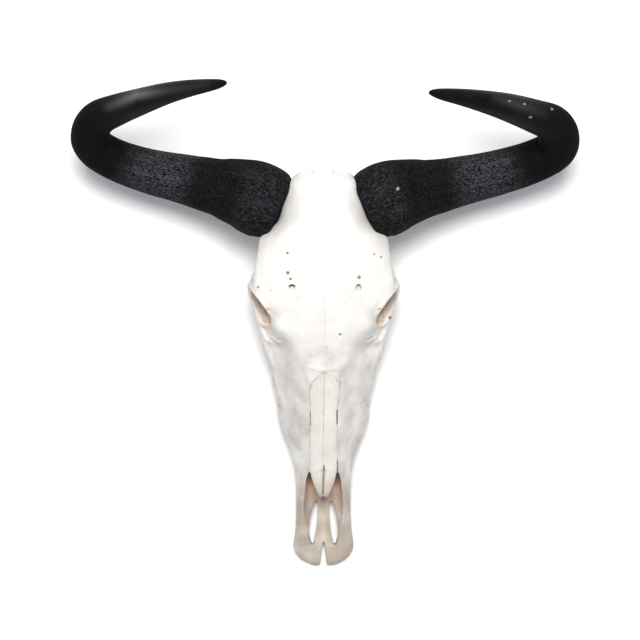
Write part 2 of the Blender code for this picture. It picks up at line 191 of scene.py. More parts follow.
class Nodes:
    """The nodes of one new material, with short ways to add the kinds that these finishes use."""

    def __init__(self, name: str) -> None:
        """Starts a material.

        Args:
            name: The material's name.
        """
        self.material = bpy.data.materials.new(name)
        self.material.use_nodes = True
        self.tree = self.material.node_tree
        self.shader = self.tree.nodes["Principled BSDF"]

    def add(self, kind: str, inputs: dict | None = None, **settings: Any) -> bpy.types.Node:
        """Adds a node with its settings and what its inputs hold or are linked to.

        Args:
            kind: Blender's name for the kind of node.
            inputs: A socket to link from, a constant or a hex code, for each input by name or number.
            settings: The node's own properties.

        Returns:
            The new node.
        """
        node = self.tree.nodes.new(kind)
        for key, value in settings.items():
            setattr(node, key, value)
        self.fill(node, inputs or {})
        return node

    def fill(self, node: bpy.types.Node, inputs: dict) -> None:
        """Links a node's inputs to sockets, or sets them to constants or to hex codes."""
        for key, value in inputs.items():
            if isinstance(value, Socket):
                self.tree.links.new(value, node.inputs[key])
            else:
                node.inputs[key].default_value = colour(value) if isinstance(value, str) else value

    def place(self) -> Socket:
        """The place in the piece's own space."""
        return self.add("ShaderNodeTexCoord").outputs["Object"]

    def kept(self, name: str, output: str = "Fac") -> Socket:
        """Reads what the mesh keeps for each point under this name."""
        return self.add("ShaderNodeAttribute", attribute_name=name).outputs[output]

    def kept_parts(self, name: str) -> list[Socket]:
        """Reads the three numbers that the mesh keeps for each point under this name."""
        return list(self.add("ShaderNodeSeparateXYZ", {0: self.kept(name, "Vector")}).outputs)

    def drawn(self, vector: Socket, scale: tuple[float, float, float]) -> Socket:
        """Draws a place out along the axes whose scale is below 1."""
        return self.add("ShaderNodeMapping", {"Vector": vector, "Scale": scale}).outputs["Vector"]

    def noise(self, vector: Socket, scale: float, detail: float) -> Socket:
        """A cloudy pattern, with this many patches to the metre."""
        node = self.add("ShaderNodeTexNoise", {"Vector": vector, "Scale": scale, "Detail": detail})
        return node.outputs["Fac"]

    def spread(self, value: Socket, source: tuple = (0.0, 1.0), goal: tuple = (0.0, 1.0)) -> Socket:
        """Maps one range of a value on another, and holds it there."""
        ends = zip(("From Min", "From Max", "To Min", "To Max"), (*source, *goal))
        return self.add("ShaderNodeMapRange", {"Value": value, **dict(ends)}).outputs["Result"]

    def maths(self, operation: str, *numbers: Socket | float) -> Socket:
        """Works one number out of others."""
        return self.add("ShaderNodeMath", dict(enumerate(numbers)), operation=operation).outputs[0]

    def mixed(self, share: Socket, first: Socket | str, second: Socket | str) -> Socket:
        """Mixes this share of a second colour into a first."""
        inputs = {0: share, 6: first, 7: second}
        return self.add("ShaderNodeMix", inputs, data_type="RGBA", clamp_factor=True).outputs[2]

    def ramp(self, value: Socket, stops: tuple) -> Socket:
        """Reads a grey ramp with this place and brightness at each stop."""
        node = self.add("ShaderNodeValToRGB", {"Fac": value})
        elements = node.color_ramp.elements
        while len(elements) < len(stops):
            elements.new(0.5)
        for element, (place, shade) in zip(elements, stops):
            element.position = place
            element.color = (shade, shade, shade, 1.0)
        return node.outputs["Color"]

    def surface(self, tone: Socket | str, rough: Socket | float, *reliefs: tuple) -> None:
        """Gives the material its colour, its roughness and layers of relief.

        Args:
            tone: Its colour.
            rough: Its roughness.
            reliefs: Socket of the height, distance in metres and strength of each layer, the lowest first.
        """
        inputs = {"Base Color": tone, "Roughness": rough}
        for height, distance, strength in reliefs:
            bump = self.add("ShaderNodeBump", {"Height": height, "Distance": distance, "Strength": strength})
            if "Normal" in inputs:
                self.fill(bump, {"Normal": inputs["Normal"]})
            inputs["Normal"] = bump.outputs["Normal"]
        self.fill(self.shader, inputs)


@dataclass(frozen=True)
class WhiteTable:
    """Matt white laminate, lit until it shows no edge or grain: a plain white ground with soft shadows."""

    tone: str = "fbfbfc"

    def build(self) -> bpy.types.Material:
        """Makes the material."""
        nodes = Nodes("matt_white_laminate")
        nodes.surface(self.tone, 0.9)
        nodes.shader.inputs["Specular IOR Level"].default_value = 0.1
        return nodes.material


@dataclass(frozen=True)
class BleachedBone:
    """Bone bleached by sun and peroxide: chalky white with ivory and grey left where it was thick or greasy.

    Its pores and fine drying cracks break up the light, so it looks matt and a little chalky. Brown
    earth stays in the eye sockets, the nose, the canals and the joints between the bones. Painted shade
    darkens the creases, the pits, the upper edges of the eye sockets and the far back of the nose.

    Attributes:
        white: Colour of the most bleached bone.
        ivory: Colour of bone that kept some fat.
        cream: Colour of the nasal bones.
        beige: Colour of the thin bones at the tip of the snout.
        earth: Colour of the stain in the hollows.
        deep_earth: Colour of the thickest stain.
        joint: Colour of the joints between the bones.
        painted_pit_shade_and_joint: Colour inside the small pits.
        pore: Width of a pore.
        fibre: Width of the bone's grain along the snout.
        blotch: Width of a patch of ivory.
        soil: How much earth covers the bone at each amount of stain.
        thick_stain: Amounts of stain between which the earth turns deep.
        line: Distances from a joint's middle at which it is darkest and gone.
        wander: How far a joint wanders.
    """

    white: str = "e9e7e3"
    ivory: str = "c7c0bb"
    cream: str = "d6d3cb"
    beige: str = "b3a698"
    earth: str = "e6bf9f"
    deep_earth: str = "2f261d"
    joint: str = "8a7a66"
    painted_pit_shade_and_joint: str = "4c4a3e"
    pore: float = 1.6
    fibre: float = 2.2
    blotch: float = 26.0
    soil: tuple = ((0.06, 0.0), (0.18, 0.22), (0.45, 0.8), (1.0, 1.0))
    thick_stain: tuple = (0.42, 0.86)
    line: tuple = (0.1, 0.8)
    wander: float = 3.6

    def build(self) -> bpy.types.Material:
        """Makes the material."""
        nodes = Nodes("sun_bleached_bone")
        place = nodes.place()
        stain, crease_dust_and_shade, pit, faint = map(nodes.kept, ("stain", "crease_dust_and_shade", "pit", "seam_depth"))
        old, nasal, snout = nodes.kept_parts("zone")
        blotches = nodes.noise(place, 1 / (self.blotch * MM), 4.0)
        pores = nodes.noise(place, 1 / (self.pore * MM), 3.0)
        grain = nodes.noise(nodes.drawn(place, (1.0, 0.12, 1.0)), 1 / (self.fibre * MM), 3.0)

        # White bone, then ivory patches, the cream nasal bones and the uneven beige of the snout's tip
        ivory = nodes.maths("MULTIPLY", nodes.spread(blotches, (0.3, 0.68)), old)
        tone = nodes.mixed(ivory, self.white, self.ivory)
        tone = nodes.mixed(nasal, tone, self.cream)
        beige = nodes.maths("MULTIPLY", snout, nodes.spread(blotches, (0.35, 0.6), (0.6, 1.05)))
        tone = nodes.mixed(beige, tone, self.beige)

        # The grain darkens the tone a little
        streak = nodes.spread(grain, (0.36, 0.62), (0.95, 1.0))
        tone = nodes.add("ShaderNodeVectorMath", {0: tone, "Scale": streak}, operation="SCALE").outputs[0]

        # Earth in the hollows, broken up by the pores, and painted shade inside the pits, in a dark colour
        # that the darkest joints share
        broken = nodes.maths("MULTIPLY_ADD", pores, 0.5, -0.25)
        soil = nodes.ramp(nodes.maths("ADD", stain, broken), self.soil)
        # Thick stain turns deep brown: earth, and also painted shade far back in the nose and under the brow
        thick = nodes.spread(stain, self.thick_stain)
        tone = nodes.mixed(soil, tone, nodes.mixed(thick, self.earth, self.deep_earth))
        tone = nodes.mixed(nodes.spread(pit, (0.12, 0.6)), tone, self.painted_pit_shade_and_joint)

        # Painted shade in the creases, in the earth's tan, which also stands for dust there, and the joints
        # between the bones
        tone = nodes.mixed(nodes.spread(crease_dust_and_shade, (0.1, 0.9), (0.0, 0.55)), tone, self.earth)
        sway = nodes.maths("MULTIPLY_ADD", nodes.noise(place, 260.0, 3.0), self.wander, -self.wander / 2)
        joints = nodes.maths("MULTIPLY", self.joints(nodes, sway), faint)
        tone = nodes.mixed(joints, tone, self.joint)

        rough = nodes.spread(pores, goal=(0.58, 0.82))
        nodes.surface(tone, rough, (grain, 0.0005, 0.5), (pores, 0.0004, 0.55))
        nodes.shader.inputs["Specular IOR Level"].default_value = 0.35
        return nodes.material

    def joints(self, nodes: Nodes, sway: Socket) -> Socket:
        """Draws the joints between the bones, where a distance kept across one passes zero.

        Args:
            nodes: The material's nodes.
            sway: How far a joint wanders at each place.

        Returns:
            The socket of how dark the joint is.
        """
        darkest = None
        for across in nodes.kept_parts("seams"):
            off = nodes.maths("ABSOLUTE", nodes.maths("ADD", across, sway))
            dark = nodes.spread(off, self.line, (1.0, 0.0))
            darkest = dark if darkest is None else nodes.maths("MAXIMUM", darkest, dark)
        return darkest


@dataclass(frozen=True)
class WeatheredKeratin:
    """Horn keratin left out of doors: near black, its surface split into fine fibres that run along it.

    The dry fibres scatter light, so the horn is matt with grey dusty streaks, and only the tip, which
    the animal rubbed smooth, keeps a soft shine, with a painted highlight in pale grey on each tip.

    Attributes:
        black: Colour of sound horn.
        dusty: Colour of horn with dust and dry fibre on it.
        fleck_and_sheen: Colour of the white specks and of the chip.
        fibre: Width of a fibre.
        streak: Width of a dusty streak.
    """

    black: str = "09090b"
    dusty: str = "5e5e64"
    fleck_and_sheen: str = "b9b6b4"
    fibre: float = 1.0
    streak: float = 8.0

    def build(self) -> bpy.types.Material:
        """Makes the material."""
        nodes = Nodes("weathered_horn_keratin")
        fibre = nodes.kept("fibre", "Vector")
        dusty, fleck_and_sheen, polish = nodes.kept_parts("wear_and_painted_sheen")
        fine = nodes.noise(fibre, 1 / (self.fibre * MM), 2.0)
        broad = nodes.noise(nodes.drawn(fibre, (1.0, 1.0, 0.3)), 1 / (self.streak * MM), 4.0)
        cloud = nodes.noise(nodes.place(), 28.0, 4.0)

        # Streaks of dust in clouds, and the pale threads of split fibres
        dust = nodes.maths("MULTIPLY", nodes.spread(broad, (0.47, 0.72)), nodes.spread(cloud, (0.4, 0.68)))
        dust = nodes.maths("MULTIPLY", nodes.maths("MULTIPLY", dust, dusty), 0.5)
        threads = nodes.maths("MULTIPLY", nodes.spread(fine, (0.44, 0.72), (0.0, 0.95)), dusty)
        tone = nodes.mixed(nodes.maths("ADD", dust, threads), self.black, self.dusty)
        # The white specks, and the painted highlight on each tip in the same pale grey
        tone = nodes.mixed(fleck_and_sheen, tone, self.fleck_and_sheen)

        rough = nodes.spread(polish, goal=(0.92, 0.36))
        nodes.surface(tone, rough, (broad, 0.0012, 0.5), (fine, 0.0009, 0.7))
        nodes.shader.inputs["Specular IOR Level"].default_value = 0.06
        return nodes.material


@dataclass(frozen=True)
class ToothEnamel:
    """Enamel over dentine in a high-crowned grazing tooth: glossy ivory walls with brown cement in the folds.

    Attributes:
        enamel: Colour of the hard outer wall.
        cement: Colour of the stained cement in its folds.
        dentine: Colour of the worn inside on the chewing face.
    """

    enamel: str = "e2d8bf"
    cement: str = "7d6446"
    dentine: str = "b89a6c"

    def build(self) -> bpy.types.Material:
        """Makes the material."""
        nodes = Nodes("stained_tooth_enamel")
        folded, worn, _ = nodes.kept_parts("crown")
        lines = nodes.noise(nodes.drawn(nodes.place(), (1.0, 1.0, 0.25)), 620.0, 3.0)
        stain = nodes.maths("MULTIPLY", lines, folded)
        tone = nodes.mixed(nodes.spread(stain, (0.12, 0.5)), self.enamel, self.cement)
        tone = nodes.mixed(worn, tone, self.dentine)
        nodes.surface(tone, 0.34, (lines, 0.0003, 0.5))
        nodes.shader.inputs["Coat Weight"].default_value = 0.15
        return nodes.material


def smooth_through(points: Points, steps: int) -> np.ndarray:
    """Reads a smooth curve through points.

    Args:
        points: The points that the curve passes through.
        steps: Steps between each two of them.

    Returns:
        The curve's points, one a row.
    """
    rows = np.asarray(points, float)
    padded = np.vstack((2 * rows[0] - rows[1], rows, 2 * rows[-1] - rows[-2]))
    share = (np.arange(steps) / steps)[:, None]
    runs = []
    for i in range(len(rows) - 1):
        before, here, there, after = padded[i : i + 4]
        linear = (there - before) * share
        square = (2 * before - 5 * here + 4 * there - after) * share**2
        cube = (3 * here - before - 3 * there + after) * share**3
        runs.append((2 * here + linear + square + cube) / 2)
    return np.vstack(runs + [rows[-1:]])


def evenly(points: np.ndarray, count: int) -> np.ndarray:
    """Takes this many points at equal distances along a run of points."""
    lengths = np.concatenate(([0.0], np.cumsum(np.linalg.norm(np.diff(points, axis=0), axis=1))))
    goals = np.linspace(0, lengths[-1], count)
    return np.column_stack([np.interp(goals, lengths, points[:, k]) for k in range(points.shape[1])])


def tube_rings(
    stations: Points, side: int = 1, grow: float = 0.0, steps: int = 6, sides: int = 32, power: float = 2.0
) -> np.ndarray:
    """Lays oval rings square to a path.

    Args:
        stations: x, y, z, half width and half height along the path, or one radius for both.
        side: 1 as given, or -1 for the mirror image.
        grow: Added to each radius.
        steps: Rings between each two stations.
        sides: Points in each ring.
        power: 2 for an ellipse, and less for a ring whose sides are straighter, towards a diamond.

    Returns:
        The rings, each an array of its points.
    """
    rows = np.array([(side * s[0], s[1], s[2], s[3], s[-1]) for s in stations], float)
    smooth = smooth_through(rows, steps)
    places = smooth[:, :3]
    ways = np.gradient(places, axis=0)
    ways /= np.linalg.norm(ways, axis=1)[:, None]
    across = np.array((1.0, 0, 0)) if abs(ways[0][2]) > 0.8 else np.cross(ways[0], (0, 0, 1))
    turns = math.tau * np.arange(sides) / sides
    cosines, sines = (np.sign(wave) * np.abs(wave) ** (2 / power) for wave in (np.cos(turns), np.sin(turns)))
    rings = []
    for place, along, sizes in zip(places, ways, smooth[:, 3:]):
        across = across - along * across.dot(along)
        across = across / np.linalg.norm(across)
        over = np.cross(across, along)
        wide, high = np.maximum(sizes, 0.2) + grow
        rings.append(place + np.outer(cosines * wide, across) + np.outer(sines * high, over))
    return np.array(rings)


def smoothstep(low: float, high: float, values: np.ndarray) -> np.ndarray:
    """Rises smoothly from 0 at low to 1 at high."""
    share = np.clip((values - low) / (high - low), 0, 1)
    return share * share * (3 - 2 * share)


def ripple(points: np.ndarray, length: float, seed: int, waves: int = 9) -> np.ndarray:
    """Gives an even, wandering unevenness from -1 to 1.

    Args:
        points: Where it is read.
        length: Distance over which it changes, in the points' unit.
        seed: Chooses one of many such patterns.
        waves: How many waves are added up.

    Returns:
        One value for each point.
    """
    draw = np.random.default_rng(seed)
    ways = draw.normal(size=(waves, points.shape[1]))
    ways /= np.linalg.norm(ways, axis=1)[:, None]
    ways *= draw.uniform(0.6, 1.6, (waves, 1)) * math.pi / length
    return np.sin(points @ ways.T + draw.uniform(0, math.tau, waves)).mean(axis=1) * 1.6


def distance_to_line(places: np.ndarray, line: Points) -> np.ndarray:
    """Finds how far each place is from a run of points, or from a single one."""
    nearest = np.full(len(places), np.inf)
    corners = np.asarray(line, float)
    if len(corners) == 1:
        return np.linalg.norm(places - corners[0], axis=1)
    for first, second in zip(corners, corners[1:]):
        way = second - first
        share = np.clip((places - first) @ way / way.dot(way), 0, 1)
        nearest = np.minimum(nearest, np.linalg.norm(places - first - share[:, None] * way, axis=1))
    return nearest


def inside_outline(places: np.ndarray, outline: Points) -> np.ndarray:
    """Says of each place whether it is within a closed outline."""
    corners = np.asarray(outline, float)
    inside = np.zeros(len(places), bool)
    for (x1, y1), (x2, y2) in zip(corners, np.roll(corners, -1, axis=0)):
        crosses = (y1 > places[:, 1]) != (y2 > places[:, 1])
        if y1 != y2:
            inside ^= crosses & (places[:, 0] < (x2 - x1) * (places[:, 1] - y1) / (y2 - y1) + x1)
    return inside


def activate(obj: bpy.types.Object) -> None:
    """Selects this object alone."""
    bpy.ops.object.select_all(action="DESELECT")
    obj.select_set(True)
    bpy.context.view_layer.objects.active = obj


def finish_with(obj: bpy.types.Object, kind: str, **settings: Any) -> None:
    """Adds a modifier to an object and applies it.

    Args:
        obj: The object.
        kind: Blender's name for the kind of modifier.
        settings: The modifier's own properties.
    """
    activate(obj)
    modifier = obj.modifiers.new(kind.lower(), kind)
    for key, value in settings.items():
        setattr(modifier, key, value)
    bpy.ops.object.modifier_apply(modifier=modifier.name)


def join(name: str, pieces: Sequence[bpy.types.Object]) -> bpy.types.Object:
    """Makes one object of several."""
    activate(pieces[0])
    for piece in pieces[1:]:
        piece.select_set(True)
    bpy.ops.object.join()
    pieces[0].name = name
    return pieces[0]


def sweep(name: str, rings: np.ndarray) -> bpy.types.Object:
    """Models a closed body by extruding a disc from ring to ring.

    Args:
        name: The new object's name.
        rings: The rings that its skin passes through, with equal counts of points.

    Returns:
        The new object.
    """
    sides = rings.shape[1]
    bpy.ops.object.select_all(action="DESELECT")
    bpy.ops.mesh.primitive_circle_add(vertices=sides, radius=0.01, fill_type="NGON")
    body = bpy.context.object
    body.name = name
    body.data.vertices.foreach_set("co", (rings[0] * MM).ravel())
    place = body.data.attributes.new("around", "INT", "POINT")
    place.data.foreach_set("value", np.arange(sides, dtype=np.int32))
    body.data.attributes.new("ring", "INT", "POINT")
    bpy.ops.object.mode_set(mode="EDIT")
    bpy.ops.mesh.select_mode(type="FACE")
    bpy.ops.mesh.select_all(action="SELECT")
    for number, ring in enumerate(rings[1:] * MM, start=1):
        bpy.ops.mesh.extrude_region_move()
        shape = bmesh.from_edit_mesh(body.data)
        around, ring_number = (shape.verts.layers.int[word] for word in ("around", "ring"))
        for corner in shape.verts:
            if corner.select:
                corner.co = ring[corner[around]]
                corner[ring_number] = number
    bpy.ops.mesh.select_all(action="SELECT")
    bpy.ops.mesh.normals_make_consistent(inside=False)
    bpy.ops.object.mode_set(mode="OBJECT")
    return body


def points_of(obj: bpy.types.Object) -> np.ndarray:
    """The mesh's points in millimetres, one a row."""
    flat = np.empty(len(obj.data.vertices) * 3)
    obj.data.vertices.foreach_get("co", flat)
    return flat.reshape(-1, 3) / MM


def normals_of(obj: bpy.types.Object) -> np.ndarray:
    """The direction that the mesh faces at each point."""
    flat = np.empty(len(obj.data.vertices) * 3, np.float32)
    obj.data.vertex_normals.foreach_get("vector", flat)
    return flat.reshape(-1, 3).astype(float)


def move_points(obj: bpy.types.Object, points: np.ndarray) -> None:
    """Puts the mesh's points at these places in millimetres."""
    obj.data.vertices.foreach_set("co", (points * MM).ravel())
    obj.data.update()


def kept_values(obj: bpy.types.Object, name: str, kind: type = np.float32) -> np.ndarray:
    """Reads back the number that the mesh keeps for each point under this name."""
    values = np.empty(len(obj.data.vertices), kind)
    obj.data.attributes[name].data.foreach_get("value", values)
    return values.astype(float) if kind is np.float32 else values


def keep_values(obj: bpy.types.Object, name: str, values: np.ndarray) -> None:
    """Keeps a value, or a row of three, for each point of the mesh, for its material to read."""
    kind = "FLOAT" if values.ndim == 1 else "FLOAT_VECTOR"
    layer = obj.data.attributes.new(name, kind, "POINT")
    layer.data.foreach_set("value" if values.ndim == 1 else "vector", values.astype(np.float32).ravel())


def tidy_attributes(obj: bpy.types.Object, kept: Sequence[str] = ()) -> None:
    """Removes what the modelling left on the mesh, apart from the named attributes."""
    loose = [layer.name for layer in obj.data.attributes if not (layer.is_internal or layer.is_required)]
    for name in loose:
        if name not in kept:
            obj.data.attributes.remove(obj.data.attributes[name])


def finish_piece(
    obj: bpy.types.Object, name: str, material: bpy.types.Material, node: str
) -> None:
    """Names a finished piece, gives it its material and stands it in for its solid.

    Args:
        obj: The piece.
        name: Its name.
        material: Its finish.
        node: The solid that it replaces.
    """
    obj.name = name
    obj.data.name = name
    obj.data.materials.clear()
    obj.data.materials.append(material)
    activate(obj)
    bpy.ops.object.shade_smooth()
    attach(obj, "root")
    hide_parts(node)
    points = points_of(obj)
    LOG.info("%s: %d faces, x %.1f to %.1f, y %.1f to %.1f, z %.1f to %.1f mm", name, len(obj.data.polygons),
             *np.column_stack((points.min(axis=0), points.max(axis=0))).ravel())


@dataclass(frozen=True)
class Mark:
    """A low form on the bone, along a line or round a single point.

    Attributes:
        line: Points along it: pixels of the photograph, or millimetres in the other views.
        width: Distance in millimetres at which it has fallen to about a third.
        height: Rise in millimetres, below zero for a hollow.
        view: The direction that it is placed from.
        mirrored: Whether the other side of the head has it too.
        stain: How brown it is, from 0 to 1; on pits and the darkest lines it sets the dark colour instead,
            painted shade in the pits and the brow canal, dark joints elsewhere.
    """

    line: tuple[tuple[float, float], ...]
    width: float
    height: float
    view: View = View.PHOTO
    mirrored: bool = True
    stain: float = 0.0


# Pits in the brow and the face: pixel across and down, width, rise, and stain, which sets how dark the
# painted shade inside each is
PITS = (
    (287.2, 253.2, 1.5, -2.0, 0.7), (287.6, 273.1, 1.6, -3.0, 1.0), (290.3, 279.1, 1.4, -2.0, 0.8),
    (359.2, 277.7, 1.7, -3.2, 1.0), (340.2, 334.6, 1.3, -1.6, 0.8), (326.5, 348, 1.0, -1.0, 0.5),
    (374.6, 254, 1.1, -1.2, 0.7), (381.3, 257, 1.1, -1.2, 0.7), (257.7, 287.3, 1.4, -1.4, 0.6),
    (270.8, 291, 1.3, -0.8, 0.3), (390.5, 318, 1.5, -2.4, 0.9),
)
# Ridges over the roots of the cheek teeth: y and z of both ends, width and rise
ROOT_RIDGES = (
    (-96, 24, -97, 42, 3.4, 1.0), (-81, 24, -82, 44, 3.6, 1.0), (-65, 23, -66, 46, 3.8, 1.1),
    (-48, 23, -49, 44, 4.2, 1.1), (-26, 23, -27, 42, 4.6, 1.1), (-3, 23, -3, 40, 4.6, 0.9),
)


@dataclass
class Skull:
    """The bones of the cranium and the face, grown together.

    Attributes:
        camera: The camera that the marks are placed from.
        ring_points: Points in each ring of the cranium.
        first_voxel: Mesh width once the parts are joined.
        last_voxel: Mesh width once the hollows are cut.
        cutter_voxel: Mesh width of the shapes that cut them.
        most_triangles: Triangles that the bone is thinned to.
        midline_pixel: Pixel across at the middle of the face.
        face_height: Height above the floor at which the marks' pixels are measured.
        nose_height: The same for the joints of the nasal bones.
        pit_stain: Stain from which a mark is dark inside like a pit.
        orbit_set_back: How far the eye socket's middle lies behind its rim, as a share of its depth.
        orbit_outer_edge: y along the eye socket's outer edge, then x there.
        orbit_upper_edge: The same along its upper edge, under the brow, which is darkest: earth stain and
            painted shade.
        midline_line: Pixels along the joint in the middle of the face.
        midline_depth: Pixels down the face, then how dark that joint is there.
    """

    camera: PhotoCamera
    ring_points: int = 92
    first_voxel: float = 1.5
    last_voxel: float = 1.25
    cutter_voxel: float = 0.9
    most_triangles: int = 188000
    midline_pixel: float = 323.9
    face_height: float = 120.0
    nose_height: float = 110.0
    pit_stain: float = 0.6

    # Sections from the muzzle to the back of the head: the distance along Y, then the right half of
    # the outline, from the middle of the roof round to the middle of the palate
    sections: tuple = (
        (-284, ((0, 13), (3, 13.5), (6, 13.5), (9, 13.2), (12, 12.5),
                (14.5, 11.2), (15.5, 9.8), (12, 8), (6, 7.6), (0, 7.5))),
        (-276, ((0, 16), (6, 16.5), (12, 17), (18, 17), (24, 16),
                (28, 13.5), (29.5, 11), (24, 7.6), (12, 6.8), (0, 6.8))),
        (-262, ((0, 18), (8, 19), (16, 20.5), (24, 22), (31, 21),
                (36, 17), (37.6, 13), (31, 8), (15, 7.4), (0, 7.4))),
        (-240, ((0, 24), (8, 27), (16, 31), (22, 33), (28, 31),
                (33, 25), (35, 18), (30, 11.5), (15, 10.5), (0, 10.5))),
        (-215, ((0, 38), (8, 42), (15, 46), (21, 47), (27, 42),
                (32, 33), (33.8, 24), (30, 15), (16, 13.5), (0, 13.5))),
        (-192, ((0, 56), (8, 58), (15, 60), (21, 59), (27, 52),
                (32, 41), (33.8, 30), (31, 20), (17, 17), (0, 17))),
        (-172, ((0, 83), (9, 82.6), (15.5, 80), (22, 71), (28, 60),
                (33, 47), (34.4, 36), (32, 25), (18, 21), (0, 21))),
        (-150, ((0, 90), (9, 89.6), (16, 87), (24, 76), (31, 63),
                (36, 50), (37.3, 39), (34, 26), (20, 22), (0, 23))),
        (-130, ((0, 96.5), (9, 96), (16.3, 93.5), (26, 80), (34, 65),
                (41, 51), (44.4, 40), (42, 26), (24, 22), (0, 26))),
        (-115, ((0, 101), (9, 100.6), (16.5, 98), (28, 82), (38, 66),
                (46, 53), (50.5, 42), (49, 27), (28, 23), (0, 29))),
        (-100, ((0, 106), (9, 105.6), (17, 102.5), (30, 86), (41, 69),
                (49, 56), (53.8, 45), (53.5, 24), (30, 22), (0, 32))),
        (-80, ((0, 112), (10, 111.6), (18, 108), (32, 91), (44, 74),
               (52, 60), (55.8, 48), (55.5, 22), (31, 21), (0, 35))),
        (-51, ((0, 121), (10, 120.6), (18.5, 117.5), (35, 99), (48, 82),
               (56, 67), (60.6, 54), (58, 22), (32, 21), (0, 38))),
        (-31, ((0, 128), (14, 127.6), (27, 123), (42, 104), (54, 86),
               (62, 72), (66, 60), (59, 22), (33, 21), (0, 40))),
        (-11, ((0, 136), (20, 135.2), (34, 130), (45, 113), (57, 98),
               (67, 86), (73, 70), (60, 24), (33, 22), (0, 42))),
        (10, ((0, 144), (30, 143), (54, 137), (61, 121), (67, 105),
              (71, 92), (70, 78), (59, 24), (30, 23), (0, 44))),
        (32, ((0, 151), (34, 150), (55, 147), (62, 143), (64, 130),
              (58, 108), (48, 92), (36, 62), (22, 48), (0, 47))),
        (53, ((0, 158), (34, 157), (62, 152), (80, 144), (79, 132),
              (58, 116), (44, 98), (34, 70), (20, 54), (0, 51))),
        (75, ((0, 163), (34, 162), (60, 157), (80, 144), (80, 130),
              (58, 113), (43, 97), (35, 72), (20, 57), (0, 54))),
        (100, ((0, 168), (32, 167), (56, 160), (76, 142), (76, 127),
               (57, 110), (46, 96), (38, 74), (22, 60), (0, 56))),
        (118, ((0, 170), (30, 168.5), (52, 159), (68, 142), (75.5, 126),
               (57, 110), (46, 96), (39, 75), (23, 60), (0, 56))),
        (127, ((0, 171), (28, 169), (46, 158), (60, 141), (67, 126),
               (56, 110), (47, 96), (40, 76), (24, 60), (0, 56))),
        (140, ((0, 171), (24, 169), (38, 157.5), (49, 142), (55, 127),
               (53, 110), (48, 96), (41, 76), (24, 60), (0, 56))),
        (160, ((0, 171), (21, 168.5), (35, 157.5), (46, 142), (51, 128),
               (50, 110), (46, 96), (39, 78), (22, 62), (0, 58))),
        (182, ((0, 164), (18, 161), (32, 153), (41, 138), (44, 124),
               (42, 109), (37, 96), (30, 82), (17, 70), (0, 66))),
        (194, ((0, 152), (12, 149), (22, 142), (29, 131), (31, 121),
               (29, 109), (25, 99), (19, 90), (10, 83), (0, 80))),
    )

    # The right eye socket
    orbit_rim_line: tuple = (
        (61.5, 15, 116), (59, 25, 133), (67.5, 39, 142), (79.5, 54.5, 139),
        (86.5, 62, 120), (86.5, 56, 99), (83, 36, 88), (73, 17, 97),
    )
    orbit_centre: tuple = (74.0, 38.0, 116.5)
    orbit_facing: tuple = (0.87, -0.38, 0.31)
    orbit_rim_radii: tuple = (3.9, 4.2, 4.4, 4.4, 4.2, 3.9, 3.6, 3.6)
    orbit_radius: float = 25.5
    orbit_depth: float = 36.0
    orbit_set_back: float = 0.42
    orbit_outer_edge: tuple = ((15, 18, 30, 46, 55, 62), (80, 82.5, 86.7, 90.9, 90, 88))
    orbit_upper_edge: tuple = ((15, 21, 24.5, 33, 41, 60), (62, 61, 60.3, 66.5, 77, 86.5))

    # Bars of bone on the right side, as x, y, z, half width and half height along each
    bars: tuple = (
        ((54, -34, 66, 9, 9), (64, -12, 74, 9, 11), (73, 14, 84, 7, 11), (80, 36, 89, 5.5, 10),
         (86.5, 56, 97, 5, 9), (84, 68, 98, 4.5, 8), (77.5, 84, 99, 4.5, 8), (72.5, 100, 98, 4.5, 7.5),
         (67, 113, 97, 5, 7.5), (57, 128, 96, 7, 8), (44, 139, 96, 8, 8)),
        ((80, 60, 134, 6, 6), (84, 63, 116, 5, 6), (84, 66, 98, 5, 6)),
        ((34, 172, 84, 9, 11), (36, 178, 55, 6.5, 11), (36.5, 181, 28, 5, 9), (36, 182, 8, 4, 6.5),
         (36, 182, 0.5, 3.4, 5)),
        ((8, 193, 70, 7, 9), (15, 195, 77, 9, 12), (24, 193, 88, 8, 10), (26, 188, 98, 6, 7)),
        ((8.4, -140, 88.5, 8, 3.6), (8.3, -160, 83.8, 8.2, 3.2), (6.9, -174, 79.3, 6.9, 2.8),
         (4.3, -187, 73.6, 4.3, 2.4), (3.2, -193, 69, 3.0, 1.8), (3.0, -195.5, 68, 1.6, 1.2)),
        ((4.2, -170, 22, 4.4, 4), (4.4, -200, 18, 4.2, 3.6), (4.4, -230, 15.5, 4, 3.2),
         (5.4, -252, 13.5, 4.5, 3.4), (8, -268, 12, 6, 4)),
        ((52, -14, 84, 10, 11), (59, 6, 86, 13, 11), (62, 24, 86, 13.5, 9.5), (61, 38, 86, 12, 8),
         (60, 50, 87, 6, 5)),
        ((15, 22, 44, 3.4, 14), (15, 46, 46, 2.4, 14), (15.5, 74, 52, 2.6, 13), (17, 100, 60, 4, 9)),
        ((-6, 183, 158, 7, 7), (10, 184, 156, 7, 7), (24, 182, 149, 7, 7), (35, 177, 138, 6, 7),
         (42, 171, 122, 6, 7), (44, 166, 104, 6, 7)),
        ((22, 134, 56, 4, 5), (23, 141, 54, 10, 12), (23, 150, 56, 11.5, 13.5), (23, 160, 58, 9, 11),
         (23, 166, 60, 4, 5)),
    )

